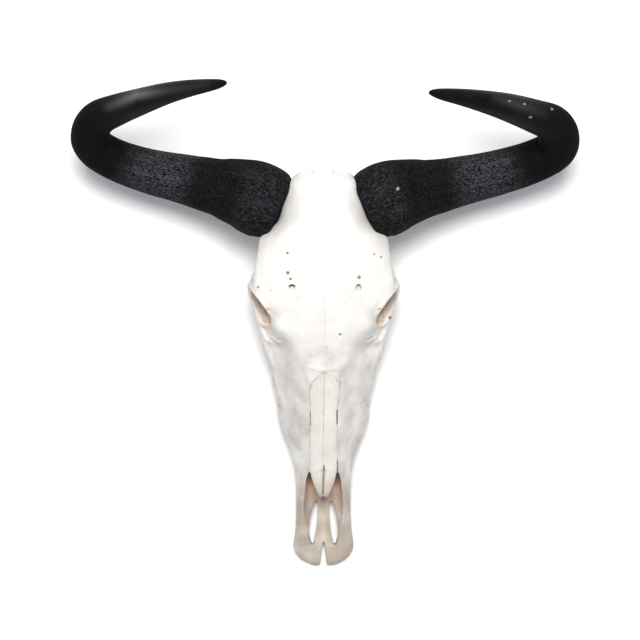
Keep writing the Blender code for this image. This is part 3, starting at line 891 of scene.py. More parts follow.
    # Hollows along the middle, then those on both sides, in the same form
    muzzle_trough: tuple = (
        (0, -264, 28, 4, 8), (0, -246, 33, 16, 17), (0, -225, 42, 24, 26), (0, -205, 51, 24.5, 35),
        (0, -192, 60, 23, 41), (0, -178, 68, 21.5, 42), (0, -164, 90, 18, 12),
    )
    middle_hollows: tuple = (
        ((0, -205, 42, 20, 20), (0, -180, 50, 22, 24), (0, -150, 56, 24, 27), (0, -110, 62, 30, 30),
         (0, -70, 72, 32, 32), (0, -40, 80, 26, 26)),
        ((0, 12, 42, 9, 12), (0, 36, 44, 11, 16), (0, 62, 46, 12, 14), (0, 84, 44, 12, 8)),
        ((0, -150, 16, 16, 7), (0, -100, 16, 26, 11), (0, -40, 18, 28, 16), (0, 14, 18, 27, 20)),
    )
    last_hollows: tuple = (
        ((0, -252, 12, 0.6, 12), (0, -270, 11, 2.8, 12), (0, -290, 10, 4.6, 12)),
        ((0, 150, 92, 14, 13), (0, 180, 88, 13, 12), (0, 212, 84, 13, 12)),
    )
    paired_hollows: tuple = (
        ((9.2, -204, 18, 1.8, 30), (10.4, -213, 18, 3.5, 30), (12.5, -227, 16, 4.7, 28),
         (13.8, -239, 14, 4.9, 26), (14, -250, 13, 3.3, 24), (13.4, -260, 12, 0.7, 22)),
        ((41, -78, 52, 2, 3), (49, -83, 50, 2.6, 4), (60, -90, 49, 3.4, 5)),
        ((14, -22, 52, 1.6, 2.2), (14, -24, 30, 2.6, 3.4)),
        ((62, 34, 96, 2.4, 2.4), (48, 46, 92, 2.6, 3)),
    )
    # The two canals in the brow differ a little, so each has its own place and size.
    brow_hollows: tuple = (
        ((-36.6, 55, 168, 3.9, 3.4), (-36.8, 57.5, 159, 3.8, 3.4), (-37.4, 62.5, 152.5, 3.4, 3),
         (-37.6, 66, 149, 2, 2)),
        ((41, 55.5, 168, 3.6, 5.6), (40.6, 57.5, 158, 3.4, 5.2), (40.4, 61.5, 150.5, 3.2, 3.6),
         (40.2, 65, 146, 2, 2)),
    )

    marks: tuple = (
        # Brow and face, as the photograph shows them
        Mark(((324.5, 297), (324.8, 312), (325, 330), (325.4, 346)), 0.9, -0.35, mirrored=False),
        Mark(((277, 326), (287.5, 333), (295, 344), (299, 354), (305, 368)), 5.5, 0.7),
        Mark(((268, 330), (279, 346), (291, 362), (301, 380)), 10.0, -1.1),
        Mark(((262.8, 333), (266, 340), (270, 342.7)), 1.9, 1.8),
        Mark(((270.5, 338.8), (275, 341), (279.5, 343)), 1.7, 2.2),
        Mark(((273, 335.5), (278, 337.5)), 1.5, 1.0),
        Mark(((274.6, 338),), 1.2, -1.2),
        Mark(((268, 348), (280, 351)), 4.0, -1.4),
        Mark(((292.5, 292), (296, 297), (300, 306)), 1.8, -0.7),
        Mark(((266.8, 310.2), (268.8, 310.6)), 1.6, -2.4, stain=0.55),
        Mark(((311, 368), (318, 369.5), (324, 370.2)), 2.5, 0.7),
        Mark(((311, 385), (314, 379), (319, 376)), 2.0, 0.9),
        Mark(((337.5, 411), (337.6, 424)), 0.8, -2.4, mirrored=False, stain=0.9),
        Mark(((309.9, 413), (310, 426)), 0.55, -1.6, mirrored=False, stain=0.62),
        Mark(((337.9, 461), (337.9, 472)), 0.6, -1.6, mirrored=False, stain=0.7),
        Mark(((342, 378), (342.4, 384)), 1.4, -1.2, mirrored=False),
        Mark(((304, 372), (305, 386)), 5.0, -0.6, mirrored=False, stain=0.1),
        Mark(((324, 466), (322.9, 494)), 0.7, -1.2, mirrored=False, stain=1.0),
        Mark(((324, 374), (323.8, 420), (323.2, 480)), 2.6, -0.8, mirrored=False),
        # Painted shadow: the dark half-moon under the overhanging rear edge of the left brow canal, flat, in
        # the pits' dark colour
        Mark(((289.4, 286.4), (291.6, 284.9), (294.4, 286)), 1.0, 0.0, mirrored=False, stain=0.9),
        *(Mark((pit[:2],), *pit[2:4], mirrored=False, stain=pit[4]) for pit in PITS),
        # The side of the face and of the braincase, in y and z
        Mark(((-58, 40), (-38, 48), (-16, 60), (6, 72)), 4.5, 2.2, View.SIDE),
        Mark(((-20, 90), (-2, 100), (8, 108)), 9.0, -2.4, View.SIDE),
        *(Mark((root[:2], root[2:4]), *root[4:], View.SIDE) for root in ROOT_RIDGES),
        Mark(((118, 112), (140, 128), (166, 132)), 8.0, -1.6, View.SIDE),
        Mark(((104, 86), (130, 80), (156, 84)), 4.0, 1.2, View.SIDE),
        # The back of the head, in x and z
        Mark(((0, 150), (0, 134), (0, 118)), 3.4, 2.6, View.REAR, mirrored=False),
        Mark(((14, 136), (18, 118)), 7.0, -2.6, View.REAR),
        Mark(((26, 140), (34, 120), (37, 100)), 3.4, 1.8, View.REAR),
        Mark(((0, 108), (9, 106), (15, 98)), 2.6, 1.2, View.REAR),
        Mark(((30, 92), (31, 76)), 4.0, -1.6, View.REAR),
        # The palate and the base of the skull, in x and y
        Mark(((0, -150), (0, -60), (0, 16)), 0.9, -0.6, View.UNDER, mirrored=False),
        Mark(((0, -30), (18, -27), (28, -18)), 0.9, -0.5, View.UNDER),
        Mark(((14, -40), (11, -90), (9, -140)), 2.2, -0.7, View.UNDER),
        Mark(((9, 128), (9, 140)), 4.0, 1.8, View.UNDER),
        Mark(((0, 100), (0, 160)), 3.0, -0.8, View.UNDER, mirrored=False),
    )

    # The nasal bones as the photograph shows them, from the top round the left side
    nasal_outline: tuple = (
        (324.3, 372.6), (317, 376), (312, 383), (309, 393), (310.5, 405), (309.8, 425), (309.5, 450),
        (309.5, 474), (312, 488), (318, 500), (323, 506), (328, 500), (334, 488), (336.5, 473),
        (337.3, 455), (337.5, 412), (338.5, 400), (340, 383), (333, 376),
    )
    nose_tip_top: float = 498.0
    midline_line: tuple = (
        (324.4, 290), (325, 330), (324.8, 350), (324.3, 372.6), (323.5, 420), (322.8, 495),
    )
    midline_depth: tuple = (
        (290, 330, 345, 370, 376, 430, 455, 500), (0.3, 0.25, 0.08, 0.12, 0.6, 0.55, 0.3, 0.5),
    )

    def build(self, horns: Sequence[np.ndarray], sockets: Sequence[np.ndarray]) -> bpy.types.Object:
        """Models the whole skull.

        Args:
            horns: Rings of the seats that the horns sit in.
            sockets: Rings of the sockets that the teeth sit in.

        Returns:
            The finished skull.
        """
        skull = self.cranium()
        trough = sweep("hollow", tube_rings(self.muzzle_trough, power=1.5))
        self.cut(skull, [trough] + [sweep("hollow", tube_rings(path)) for path in self.middle_hollows])
        added = [skull]
        for side in Side:
            added += [sweep("bar", tube_rings(path, side.value)) for path in self.bars]
            added.append(self.eye_rim(side))
        skull = join("skull_bones", added)
        finish_with(skull, "REMESH", mode="VOXEL", voxel_size=self.first_voxel * MM)
        cutters = [sweep("hollow", tube_rings(path)) for path in self.last_hollows + self.brow_hollows]
        for side in Side:
            cutters += [sweep("hollow", tube_rings(path, side.value)) for path in self.paired_hollows]
            cutters.append(self.eye_hollow(side))
        self.cut(skull, cutters)
        finish_with(skull, "REMESH", mode="VOXEL", voxel_size=self.last_voxel * MM)
        finish_with(skull, "SMOOTH", iterations=4, factor=0.5)
        self.raise_marks(skull)
        self.cut(skull, [sweep("seat", rings) for rings in list(horns) + list(sockets)])
        self.keep_finish_values(skull)
        triangles = sum(len(face.vertices) - 2 for face in skull.data.polygons)
        LOG.info("skull before thinning: %d triangles", triangles)
        if triangles > self.most_triangles:
            finish_with(skull, "DECIMATE", ratio=self.most_triangles / triangles)
        tidy_attributes(skull, ("stain", "pit", "zone", "seams", "seam_depth", "crease_dust_and_shade"))
        return skull

    def cranium(self) -> bpy.types.Object:
        """Sweeps the head's main body through its sections."""
        steps = 5
        distances = smooth_through([(y, 0) for y, _ in self.sections], steps)[:, 0]
        rings = []
        for _, half in self.sections:
            right = evenly(smooth_through(half, 5), self.ring_points // 2 + 1)
            rings.append(np.vstack((right, right[-2:0:-1] * (-1, 1))))
        stacked = np.array(rings)
        columns = smooth_through(stacked.reshape(len(rings), -1), steps).reshape(len(distances), -1, 2)
        placed = np.empty(columns.shape[:2] + (3,))
        placed[..., 0] = columns[..., 0]
        placed[..., 1] = distances[:, None]
        placed[..., 2] = columns[..., 1]
        return sweep("cranium", placed)

    def eye_rim(self, side: Side) -> bpy.types.Object:
        """Sweeps the raised rim round one eye socket, past its own start so that it closes."""
        line = self.orbit_rim_line + self.orbit_rim_line[:3]
        radii = self.orbit_rim_radii
        stations = [(*place, radii[i % len(radii)]) for i, place in enumerate(line)]
        rings = tube_rings(stations, side.value, sides=20)
        return sweep("eye_rim", rings[4:-4])

    def eye_hollow(self, side: Side) -> bpy.types.Object:
        """Models the bowl of one eye socket as a ball drawn out along the way that the eye looks."""
        bpy.ops.object.select_all(action="DESELECT")
        bpy.ops.mesh.primitive_uv_sphere_add(segments=64, ring_count=40, radius=MM)
        bowl = bpy.context.object
        facing = Vector(self.orbit_facing).normalized()
        centre = Vector(self.orbit_centre) - facing * self.orbit_depth * self.orbit_set_back
        facing.x *= side.value
        centre.x *= side.value
        bowl.scale = (self.orbit_radius, self.orbit_radius, self.orbit_depth)
        bowl.rotation_euler = facing.to_track_quat("Z", "Y").to_euler()
        bowl.location = centre * MM
        bpy.ops.object.transform_apply(location=True, rotation=True, scale=True)
        return bowl

    def cut(self, body: bpy.types.Object, cutters: Sequence[bpy.types.Object]) -> None:
        """Takes these shapes out of the body and removes them.

        Args:
            body: What is cut.
            cutters: Closed shapes, which may run into each other.
        """
        shape = join("cutter", cutters)
        finish_with(shape, "REMESH", mode="VOXEL", voxel_size=self.cutter_voxel * MM)
        finish_with(body, "BOOLEAN", operation="DIFFERENCE", object=shape, solver="MANIFOLD")
        bpy.data.objects.remove(shape)

    def raise_marks(self, skull: bpy.types.Object) -> None:
        """Raises the ridges and sinks the hollows, joints and pits into the bone's surface.

        Args:
            skull: The skull, finely meshed.
        """
        points, normals = points_of(skull), normals_of(skull)
        seen, pixel = self.camera.pixels(points), self.camera.pixel_at(self.face_height)
        views = {
            View.PHOTO: (seen, smoothstep(0.05, 0.35, normals[:, 2]) * (points[:, 2] > 24), pixel),
            View.SIDE: (points[:, 1:], smoothstep(0.1, 0.5, np.sign(points[:, 0]) * normals[:, 0]), 1.0),
            View.REAR: (points[:, ::2], smoothstep(0.1, 0.5, normals[:, 1]) * (points[:, 1] > 120), 1.0),
            View.UNDER: (points[:, :2], smoothstep(0.1, 0.5, -normals[:, 2]), 1.0),
        }
        rise = 0.22 * ripple(points, 14, 3) + 0.12 * ripple(points, 6, 4)
        stain, pit = np.zeros((2, len(points)))
        for mark in self.marks:
            places, weight, scale = views[mark.view]
            for line in self.both_lines(mark):
                off = distance_to_line(places, line) * scale
                shape = np.exp(-((off / mark.width) ** 2)) * weight
                rise += mark.height * shape
                stain_and_painted_shade = mark.stain * np.exp(-((off / (mark.width * 1.15)) ** 4)) * weight
                # Pits, the flat shadow in the left brow canal and the darkest joints take the dark colour; in
                # the pits and the canal it is painted shade
                if len(mark.line) == 1 or mark.stain > self.pit_stain:
                    pit = np.maximum(pit, stain_and_painted_shade)
                else:
                    stain = np.maximum(stain, stain_and_painted_shade)
        move_points(skull, points + normals * rise[:, None])
        keep_values(skull, "mark_stain", stain)
        keep_values(skull, "pit", pit)

    def both_lines(self, mark: Mark) -> list[np.ndarray]:
        """The mark's line, and its mirror image where the other side has it too."""
        line = np.asarray(mark.line, float)
        if not mark.mirrored or mark.view is View.SIDE:
            return [line]
        mirror = line.copy()
        mirror[:, 0] = 2 * self.midline_pixel - line[:, 0] if mark.view is View.PHOTO else -line[:, 0]
        return [line, mirror]

    def keep_finish_values(self, skull: bpy.types.Object) -> None:
        """Keeps on the skull what its finish reads: stain, kinds of bone, joints, and creases for their dust
        and painted shade.

        Args:
            skull: The skull with its marks.
        """
        points, normals = points_of(skull), normals_of(skull)
        seen = self.camera.pixels(points)
        roof = (points[:, 2] > 60) & (normals[:, 2] > 0.1)
        stain = kept_values(skull, "mark_stain")
        for side in Side:
            stain = np.maximum(stain, self.eye_earth_and_shade(points, side))
        stain = np.maximum(stain, self.nose_earth_and_shade(points, normals, seen))
        keep_values(skull, "stain", np.maximum(stain, self.rear_earth(points, normals)))

        pixel = self.camera.pixel_at(self.nose_height)
        across_nose = distance_to_line(seen, self.nasal_outline + self.nasal_outline[:1]) * pixel
        across_nose = np.where(inside_outline(seen, self.nasal_outline), across_nose, -across_nose)
        self.keep_kinds_of_bone(skull, points, smoothstep(-0.5, 1.5, across_nose) * roof)

        nose_joint = np.where(roof & (seen[:, 1] < self.nose_tip_top), across_nose, NO_JOINT)
        middle = np.interp(seen[:, 1], *np.array(self.midline_line)[:, ::-1].T)
        ends = smoothstep(290, 300, seen[:, 1]) * smoothstep(500, 492, seen[:, 1])
        from_middle = (seen[:, 0] - middle) * pixel + (1 - ends) * 4
        cheek_joint = self.cheek_joint(points)
        faint = np.interp(seen[:, 1], *self.midline_depth)
        joints = (nose_joint, np.where(roof & (ends > 0), from_middle, NO_JOINT), cheek_joint)
        keep_values(skull, "seams", np.column_stack(joints))
        keep_values(skull, "seam_depth", np.where(cheek_joint < NO_JOINT, 0.25, faint))
        # Painted shade with dust in the creases, in the earth's tan, more the deeper the crease, fading out
        # towards the back of the head
        crease_dust_and_shade = self.creases(skull, points, normals) * smoothstep(185, 150, points[:, 1])
        keep_values(skull, "crease_dust_and_shade", crease_dust_and_shade)

    def eye_earth_and_shade(self, points: np.ndarray, side: Side) -> np.ndarray:
        """How brown one eye socket is: a little all over, more at its front, and most along its upper edge
        under the brow, where the dark band is painted shade as well as earth.

        Args:
            points: The skull's points.
            side: The side of the head.

        Returns:
            From 0 to 1 for each point.
        """
        x, y, _ = points.T
        mirror = np.array((side.value, 1, 1))
        facing = np.array(self.orbit_facing) / np.linalg.norm(self.orbit_facing)
        centre = np.array(self.orbit_centre) - facing * self.orbit_depth * self.orbit_set_back
        from_centre = points - centre * mirror
        depth = from_centre @ (facing * mirror)
        across = np.linalg.norm(from_centre - depth[:, None] * facing * mirror, axis=1)
        shell = (across / self.orbit_radius) ** 2 + (depth / self.orbit_depth) ** 2
        inside = smoothstep(1.35, 1.1, shell) * (x * side.value > 20)
        outer, upper = np.interp(y, *self.orbit_outer_edge), np.interp(y, *self.orbit_upper_edge)
        share = (outer - x * side.value) / (outer - upper)
        # The band along the upper edge, under the brow, is painted shade as well as earth
        earth = 0.13 + 0.1 * smoothstep(0.3, 0.9, share) + 0.42 * smoothstep(0.86, 1.05, share)
        return inside * (earth + 0.1 * smoothstep(32, 20, y))

    def nose_earth_and_shade(self, points: np.ndarray, normals: np.ndarray, seen: np.ndarray) -> np.ndarray:
        """How brown the inside of the nose is, from 0 to 1: earth, growing darker far back under the nasal
        bones, where it is painted shade too.
        """
        _, y, z = points.T
        over_nose = inside_outline(seen, self.nasal_outline) & (normals[:, 2] > 0.15) & (z > 60)
        inner = smoothstep(7, -2, self.outside_nose(points)) * (y < 30) * ~over_nose
        # Browner the further back under the nasal bones: earth with painted shade
        return inner * (0.2 + 0.6 * smoothstep(-206, -162, y)) * (y > -212)

    def rear_earth(self, points: np.ndarray, normals: np.ndarray) -> np.ndarray:
        """How brown the throat, the opening of the braincase and the canals of the brow are, from 0 to 1."""
        x, y, z = points.T
        throat = 0.5 * smoothstep(-0.2, 0.4, -normals[:, 2]) * (np.abs(x) < 13)
        throat = throat * smoothstep(0, 30, y) * smoothstep(120, 90, y)
        hole = np.linalg.norm((points - (0, 190, 88))[:, ::2], axis=1)
        opening = 0.7 * smoothstep(14.5, 11, hole) * smoothstep(197, 176, y) * (y > 140)
        earth = np.maximum(throat, opening)
        for path in self.brow_hollows:
            off = np.linalg.norm(points[:, :2] - np.array(path[1][:2]), axis=1)
            deep = smoothstep(157.5, 153, z) * (z > 140)
            earth = np.maximum(earth, 0.05 * deep * (off < 8))
        return earth

    @staticmethod
    def keep_kinds_of_bone(skull: bpy.types.Object, points: np.ndarray, nasal: np.ndarray) -> None:
        """Keeps how ivory, how cream and how beige the bone is at each point.

        Args:
            skull: The skull.
            points: Its points.
            nasal: 1 on the nasal bones and 0 elsewhere.
        """
        _, y, z = points.T
        snout = smoothstep(-150, -215, y)
        ivory = 0.35 + 0.65 * smoothstep(40, -60, y)
        ivory = np.maximum(ivory, smoothstep(120, 60, z) * smoothstep(110, 60, y))
        ivory *= 1 - 0.8 * smoothstep(150, 185, y)
        keep_values(skull, "zone", np.column_stack((ivory, nasal * 0.65, snout)))

    @staticmethod
    def outside_nose(points: np.ndarray) -> np.ndarray:
        """How far each point is outside the nose's own cavity, in millimetres."""
        x, y, z = points.T
        ways = (-205, -180, -150, -110, -70, -40)
        height = np.interp(y, ways, (42, 50, 56, 62, 72, 80))
        wide = np.interp(y, ways, (20, 22, 24, 30, 32, 26))
        away = np.hypot(x, (z - height) * 0.9) - wide
        return away + 20 * smoothstep(-30, -10, y)

    @staticmethod
    def cheek_joint(points: np.ndarray) -> np.ndarray:
        """Distance across the joint between the cheek bone and the upper jaw, on each side."""
        x, y, z = points.T
        off = z - np.interp(y, (-62, -40, -20, 0, 12), (52, 62, 78, 92, 104))
        near = (y > -62) & (y < -6) & (np.abs(x) > 40)
        return np.where(near, off, NO_JOINT)

    @staticmethod
    def creases(skull: bpy.types.Object, points: np.ndarray, normals: np.ndarray) -> np.ndarray:
        """How deep in a crease each point of the mesh lies, from 0 to 1."""
        ends = np.empty(len(skull.data.edges) * 2, np.int32)
        skull.data.edges.foreach_get("vertices", ends)
        first, second = ends.reshape(-1, 2).T
        count = np.bincount(ends, minlength=len(points))[:, None]

        def averaged(values: np.ndarray, times: int) -> np.ndarray:
            """Takes the mean of each point's neighbours this many times."""
            for _ in range(times):
                total = np.zeros_like(values)
                for axis in range(values.shape[1]):
                    total[:, axis] += np.bincount(first, values[second, axis], len(points))
                    total[:, axis] += np.bincount(second, values[first, axis], len(points))
                values = total / np.maximum(count, 1)
            return values

        depth = ((averaged(points, 6) - points) * normals).sum(axis=1)[:, None]
        return np.clip(averaged(depth, 2)[:, 0] / 0.9, 0, 1)


@dataclass
class Horn:
    """One horn sheath, from the base that grips the skull to the hooked tip.

    Attributes:
        side: The side of the head that it is on.
        path: x, y, z, half width and half height, or one radius, from inside the base to the tip.
        seed: Chooses its own unevenness.
        camera: The camera that the specks are placed from.
        specks: Pixel and radius of each white speck that the photograph shows; the left horn's one is a
            painted glint, the brightest point of its highlight.
        painted_sheen: Three pixels along the painted highlight, a soft grey patch on the limb that ends in
            the tip, middle second.
        sheen_most: How grey that patch is, from 0 to 1.
        sheen_width: Pixels across it at which it has faded to about a third.
        sheen_reach: The same along it.
        seat_gap: Space left between it and the bone.
        seat_stations: How many places of the path are inside the bone's seat.
        sides: Points in each ring.
        steps: Rings between each two places of the path.
        stretch: How much the fibres' pattern is drawn out along the horn.
        spread: Radius of the cylinder that the fibres' pattern is laid round.
    """

    side: Side
    path: tuple
    seed: int
    camera: PhotoCamera
    specks: tuple
    painted_sheen: tuple
    painted_sheen_most: float
    painted_sheen_width: float = 4.5
    painted_sheen_reach: float = 19.0
    seat_gap: float = 0.6
    seat_stations: int = 6
    sides: int = 56
    steps: int = 7
    stretch: float = 0.3
    spread: float = 30.0

    def seat(self) -> np.ndarray:
        """Rings of the hollow in the skull that its base sits in."""
        return tube_rings(self.path[: self.seat_stations], grow=self.seat_gap, steps=4, sides=40)

    def build(self) -> bpy.types.Object:
        """Models the horn."""
        rings = tube_rings(self.path, steps=self.steps, sides=self.sides)
        horn = sweep(f"{self.side.word}_sheath", rings)
        ring, spot = (kept_values(horn, name, np.int32) for name in ("ring", "around"))
        tidy_attributes(horn)
        middles = rings.mean(axis=1)
        lengths = np.concatenate(([0.0], np.cumsum(np.linalg.norm(np.diff(middles, axis=0), axis=1))))
        radius = np.linalg.norm(rings - middles[:, None], axis=2).mean(axis=1)[ring]
        along, share = lengths[ring], lengths[ring] / lengths[-1]

        points = points_of(horn)
        turn = math.tau * spot / self.sides
        around = (np.cos(turn) * self.spread, np.sin(turn) * self.spread)
        fibre = np.column_stack((*around, along * self.stretch))
        outward = points - middles[ring]
        outward /= np.maximum(np.linalg.norm(outward, axis=1), 1e-6)[:, None]

        # Lumps round the base, faint rings, then flutes that die out before the tip
        base = smoothstep(0.02, 0.07, share) * smoothstep(0.34, 0.12, share)
        lumps = ripple(np.column_stack((fibre[:, :2] * 1.1, along * 0.8)), 16, self.seed)
        growth = np.sin(along / 5.2 + 1.4 * ripple(points, 60, self.seed + 1))
        flutes = ripple(np.column_stack((fibre[:, :2] * 2.2, along * 0.06)), 9, self.seed + 2)
        fade = smoothstep(1.0, 0.72, share)
        rise = base * (0.55 * lumps + 0.25 * growth) + fade * 0.5 * flutes * (radius / 40)
        rise *= smoothstep(2, 12, radius)
        move_points(horn, points + outward * rise[:, None])
        keep_values(horn, "fibre", fibre * MM)
        keep_values(horn, "along", along)
        finish_with(horn, "SUBSURF", levels=1, render_levels=1)
        self.keep_wear_and_painted_sheen(horn, kept_values(horn, "along") / lengths[-1])
        tidy_attributes(horn, ("fibre", "wear_and_painted_sheen"))
        LOG.info("%s horn: %d rings, %.0f mm along its middle", self.side.word, len(rings), lengths[-1])
        return horn

    def keep_wear_and_painted_sheen(self, horn: bpy.types.Object, share: np.ndarray) -> None:
        """Keeps on the horn what its finish reads: how dusty, how white with specks and a painted highlight,
        and how polished it is.

        Args:
            horn: The horn.
            share: How far along it each point lies, from 0 at the base to 1 at the tip.
        """
        dusty = 0.06 + 0.72 * smoothstep(0.44, 0.34, share) * smoothstep(0.2, 0.28, share)
        dusty += 0.18 * smoothstep(0.1, 0.06, share) + 0.08 * smoothstep(0.4, 0.3, share)
        seen = self.camera.pixels(points_of(horn))
        # Painted highlight: a soft pale patch along the limb of each tip, on its upward faces only, where the
        # horn shines
        across = distance_to_line(seen, self.painted_sheen) / self.painted_sheen_width
        lengthways = (seen[:, 0] - self.painted_sheen[1][0]) / self.painted_sheen_reach
        fades = 0.72 * np.exp(-(lengthways**2)) + 0.28 * np.exp(-((lengthways / 3.4) ** 2))
        white = self.painted_sheen_most * fades * np.exp(-(across**2))
        # White specks; on the left horn the one spot is a painted glint at the core of its highlight
        for column, row, radius in self.specks:
            off = np.hypot(seen[:, 0] - column, seen[:, 1] - row)
            white = np.maximum(white, np.exp(-((off / radius) ** 4)))
        white *= normals_of(horn)[:, 2] > 0.2
        keep_values(horn, "wear_and_painted_sheen", np.column_stack((dusty, white, smoothstep(0.6, 0.8, share))))


@dataclass
class CheekTeeth:
    """The twelve upper cheek teeth that the skull stands on, six a side.

    Attributes:
        teeth: Name, length and width of each, from the front.
        spacing: Gap between two of them.
        row_start: y of the row's front end.
        row_outer: x of the row's outer edge, at its front and its rear.
        top: Height of the roots' end above the chewing face.
        sides: Points in each outline.
        gap: Gap between a tooth and its socket.
    """

    teeth: tuple = (
        ("premolar_2", 12.5, 11.5), ("premolar_3", 15.0, 14.0), ("premolar_4", 15.5, 16.5),
        ("molar_1", 19.0, 19.0), ("molar_2", 23.0, 20.5), ("molar_3", 24.0, 19.5),
    )
    spacing: float = 0.5
    row_start: float = -103.0
    row_outer: tuple = (47.0, 54.5)
    top: float = 33.0
    sides: int = 72
    gap: float = 0.35

    def place(self, index: int, side: Side) -> tuple[float, float]:
        """The middle of one tooth, across and along the head.

        Args:
            index: Its place in the row, from the front.
            side: The side of the head.

        Returns:
            Its x and y.
        """
        lengths = [length + self.spacing for _, length, _ in self.teeth]
        start = self.row_start + sum(lengths[:index])
        _, length, width = self.teeth[index]
        share = (start + length / 2 - self.row_start) / (sum(lengths) - self.spacing)
        outer = self.row_outer[0] + (self.row_outer[1] - self.row_outer[0]) * share
        return side.value * (outer - width / 2), start + length / 2

    def outline(self, index: int, side: Side) -> np.ndarray:
        """The crown's outline about its own middle: ribs outside, rounded lobes inside.

        Args:
            index: Its place in the row, from the front.
            side: The side of the head.

        Returns:
            The outline's points, across and along.
        """
        _, length, width = self.teeth[index]
        turns = math.tau * np.arange(self.sides) / self.sides
        cross, down = np.cos(turns), np.sin(turns)
        square = (np.abs(cross) ** 4 + np.abs(down) ** 4) ** -0.25
        lobes = 2 if index > 2 else 1
        wave = np.cos(down * square * math.pi * lobes)
        outer = smoothstep(0.1, 0.7, cross)
        inner = smoothstep(0.1, 0.7, -cross)
        dent = outer * (0.45 + 0.45 * np.cos(down * square * math.pi * (lobes + 1) + math.pi))
        dent += inner * (0.9 + 0.9 * (wave if lobes == 2 else -0.6 * wave))
        reach = square * np.column_stack((cross * width / 2, down * length / 2)).T
        reach = reach * (1 - dent / (width / 2))
        return np.column_stack((side.value * reach[0], reach[1]))

    def socket(self, index: int, side: Side) -> np.ndarray:
        """Rings of the socket that one tooth sits in."""
        x, y = self.place(index, side)
        outline = self.outline(index, side)
        grown = outline * (1 + self.gap / np.linalg.norm(outline, axis=1))[:, None]
        heights = (8.0, 16.0, 25.0, self.top + self.gap)
        return np.array([np.column_stack((*(grown + (x, y)).T, np.full(self.sides, z))) for z in heights])

    def build(self, index: int, side: Side) -> bpy.types.Object:
        """Models one tooth, crown down.

        Args:
            index: Its place in the row, from the front.
            side: The side of the head.

        Returns:
            The tooth.
        """
        word, length, width = self.teeth[index]
        outline = self.outline(index, side)
        lobes = 2 if index > 2 else 1
        rings, kinds = [], []
        # The chewing face from its middle out, then the wall up to the roots' end
        for share in (0.08, 0.2, 0.32, 0.42, 0.5, 0.58, 0.66, 0.74, 0.82, 0.9, 0.96, 0.99):
            flat = outline * share
            sink = self.crescents(flat, width, length, lobes)
            rings.append(np.column_stack((flat, 0.05 + 1.3 * sink)))
            kinds.append(np.column_stack((sink, np.full(self.sides, 1.0 if share < 0.93 else 0.0), sink * 0)))
        reach = np.linalg.norm(outline, axis=1)
        fold = smoothstep(0.98, 0.9, reach / reach.max())
        for z, spread in ((0.5, 1.0), (3, 1.0), (6, 1.003), (10, 1.0), (14, 0.995), (16, 0.985),
                          (20, 0.975), (24, 0.97), (28, 0.955), (self.top - 2, 0.93), (self.top, 0.86)):
            rings.append(np.column_stack((outline * spread, np.full(self.sides, float(z)))))
            kinds.append(np.column_stack((0.25 + 0.5 * fold + 0.25 * (z > 14), fold * 0, fold * 0)))
        placed = np.array(rings) + (*self.place(index, side), 0)
        tooth = sweep(f"{side.word}_{word}_crown", placed)
        ring, spot = (kept_values(tooth, name, np.int32) for name in ("ring", "around"))
        tidy_attributes(tooth)
        keep_values(tooth, "crown", np.array(kinds)[ring, spot])
        return tooth

    @staticmethod
    def crescents(flat: np.ndarray, width: float, length: float, lobes: int) -> np.ndarray:
        """How deep the chewing face is sunk, in the moon-shaped pits of a grazer's tooth.

        Args:
            flat: Places on the chewing face about its middle.
            width: The tooth's width.
            length: The tooth's length.
            lobes: How many pits it has.

        Returns:
            From 0 to 1 for each place.
        """
        deep = np.zeros(len(flat))
        reach = width * 0.26
        for k in range(lobes):
            middle = length * ((k + 0.5) / lobes - 0.5)
            off = np.hypot(flat[:, 0], flat[:, 1] - middle)
            deep = np.maximum(deep, np.exp(-(((off - reach) / (width * 0.07)) ** 2)))
        return deep


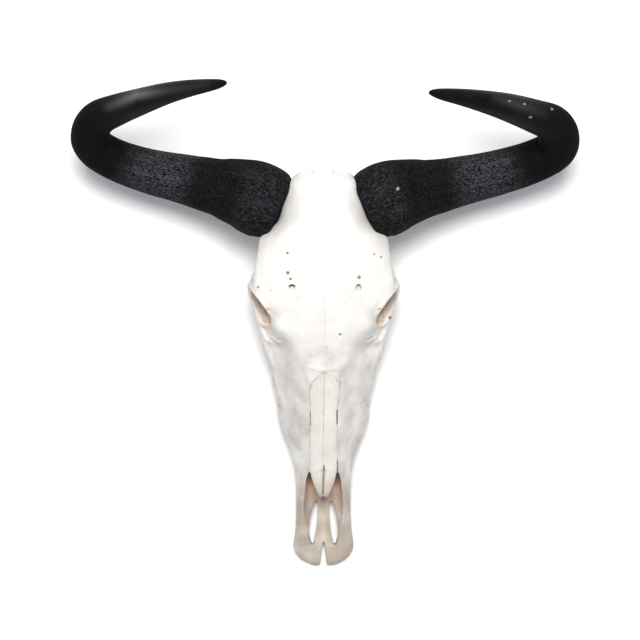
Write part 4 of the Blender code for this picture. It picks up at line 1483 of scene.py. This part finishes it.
# x, y, z, half width and half height, or one radius, from inside each base to the tip
LEFT_HORN = (
    (-49.6, 148.5, 126, 28, 34), (-52.8, 150.2, 125.5, 34.5, 40), (-60.5, 155, 123.5, 41, 45),
    (-70.5, 161, 121, 44.5, 46.5), (-90, 170, 113.5, 43, 44), (-112, 176.8, 106, 38),
    (-134, 182.5, 98, 33.5), (-173, 192, 90, 29.5), (-212, 201, 87, 27), (-250, 213.7, 92, 25),
    (-273.6, 228, 105, 24), (-276.5, 242, 127, 23), (-264, 256, 155, 21), (-239, 263, 183, 18.5),
    (-208.6, 269, 212, 15.5), (-179, 275, 234, 12.6), (-151, 278.7, 252, 9.8), (-123.3, 281, 266, 6.6),
    (-112, 282, 271, 4.2), (-107, 282.4, 273, 1.6),
)
RIGHT_HORN = (
    (46.1, 148.5, 126, 28, 34), (49.3, 150.2, 125.5, 34.5, 40), (57, 155, 123.5, 41, 45),
    (67, 161, 121, 44.5, 46.5), (86.5, 169.8, 113.5, 43, 44), (109.5, 175.8, 106, 38),
    (132, 180.5, 98, 33.5), (172, 190, 90, 29.5), (210, 199, 87, 27.5), (250, 211, 92, 26),
    (276, 224, 105, 25), (279, 237, 127, 24), (268, 250, 155, 22), (243, 256, 182, 19.4),
    (212, 262, 210, 16.4), (184, 266, 231, 13.2), (157, 269, 248, 10), (132, 271, 261, 6.8),
    (121, 272, 266, 4.2), (116, 272.2, 268, 1.6),
)
# The white specks, of which the last on the right horn is the chip at its base and the one on the left horn
# is a painted glint at the core of its highlight, as pixels and a radius
LEFT_PAINTED_GLINT = ((137, 94.5, 0.9),)
RIGHT_SPECKS = (
    (510, 101, 0.9), (525, 104, 0.9), (530, 117, 0.9), (552, 109, 1.0), (398, 189, 1.15),
)
# Pixels along the painted highlight, a soft grey patch on each tip, middle second
LEFT_PAINTED_SHEEN = ((108, 107), (136, 95), (206, 85))
RIGHT_PAINTED_SHEEN = ((496, 99), (518, 105), (544, 113))


def main() -> None:
    """Builds the table, the skull, the horns and the teeth."""
    logging.basicConfig(level=logging.INFO, format="%(name)s: %(message)s")
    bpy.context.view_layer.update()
    camera = PhotoCamera()
    camera.build()
    Studio().build()

    bone = BleachedBone().build()
    keratin = WeatheredKeratin().build()
    enamel = ToothEnamel().build()
    horns = (
        Horn(Side.LEFT, LEFT_HORN, 11, camera, LEFT_PAINTED_GLINT, LEFT_PAINTED_SHEEN, 0.21),
        Horn(Side.RIGHT, RIGHT_HORN, 23, camera, RIGHT_SPECKS, RIGHT_PAINTED_SHEEN, 0.06),
    )
    teeth = CheekTeeth()

    sockets = [teeth.socket(index, side) for index in range(len(teeth.teeth)) for side in Side]
    skull = Skull(camera).build([horn.seat() for horn in horns], sockets)
    finish_piece(skull, "skull_bone", bone, "skull")
    for horn in horns:
        finish_piece(horn.build(), f"{horn.side.word}_horn_sheath", keratin, f"{horn.side.word}_horn")
    for index, (word, _, _) in enumerate(teeth.teeth):
        for side in Side:
            name = f"{side.word}_{word}"
            finish_piece(teeth.build(index, side), f"{name}_tooth", enamel, name)


if __name__ == "__main__":
    main()
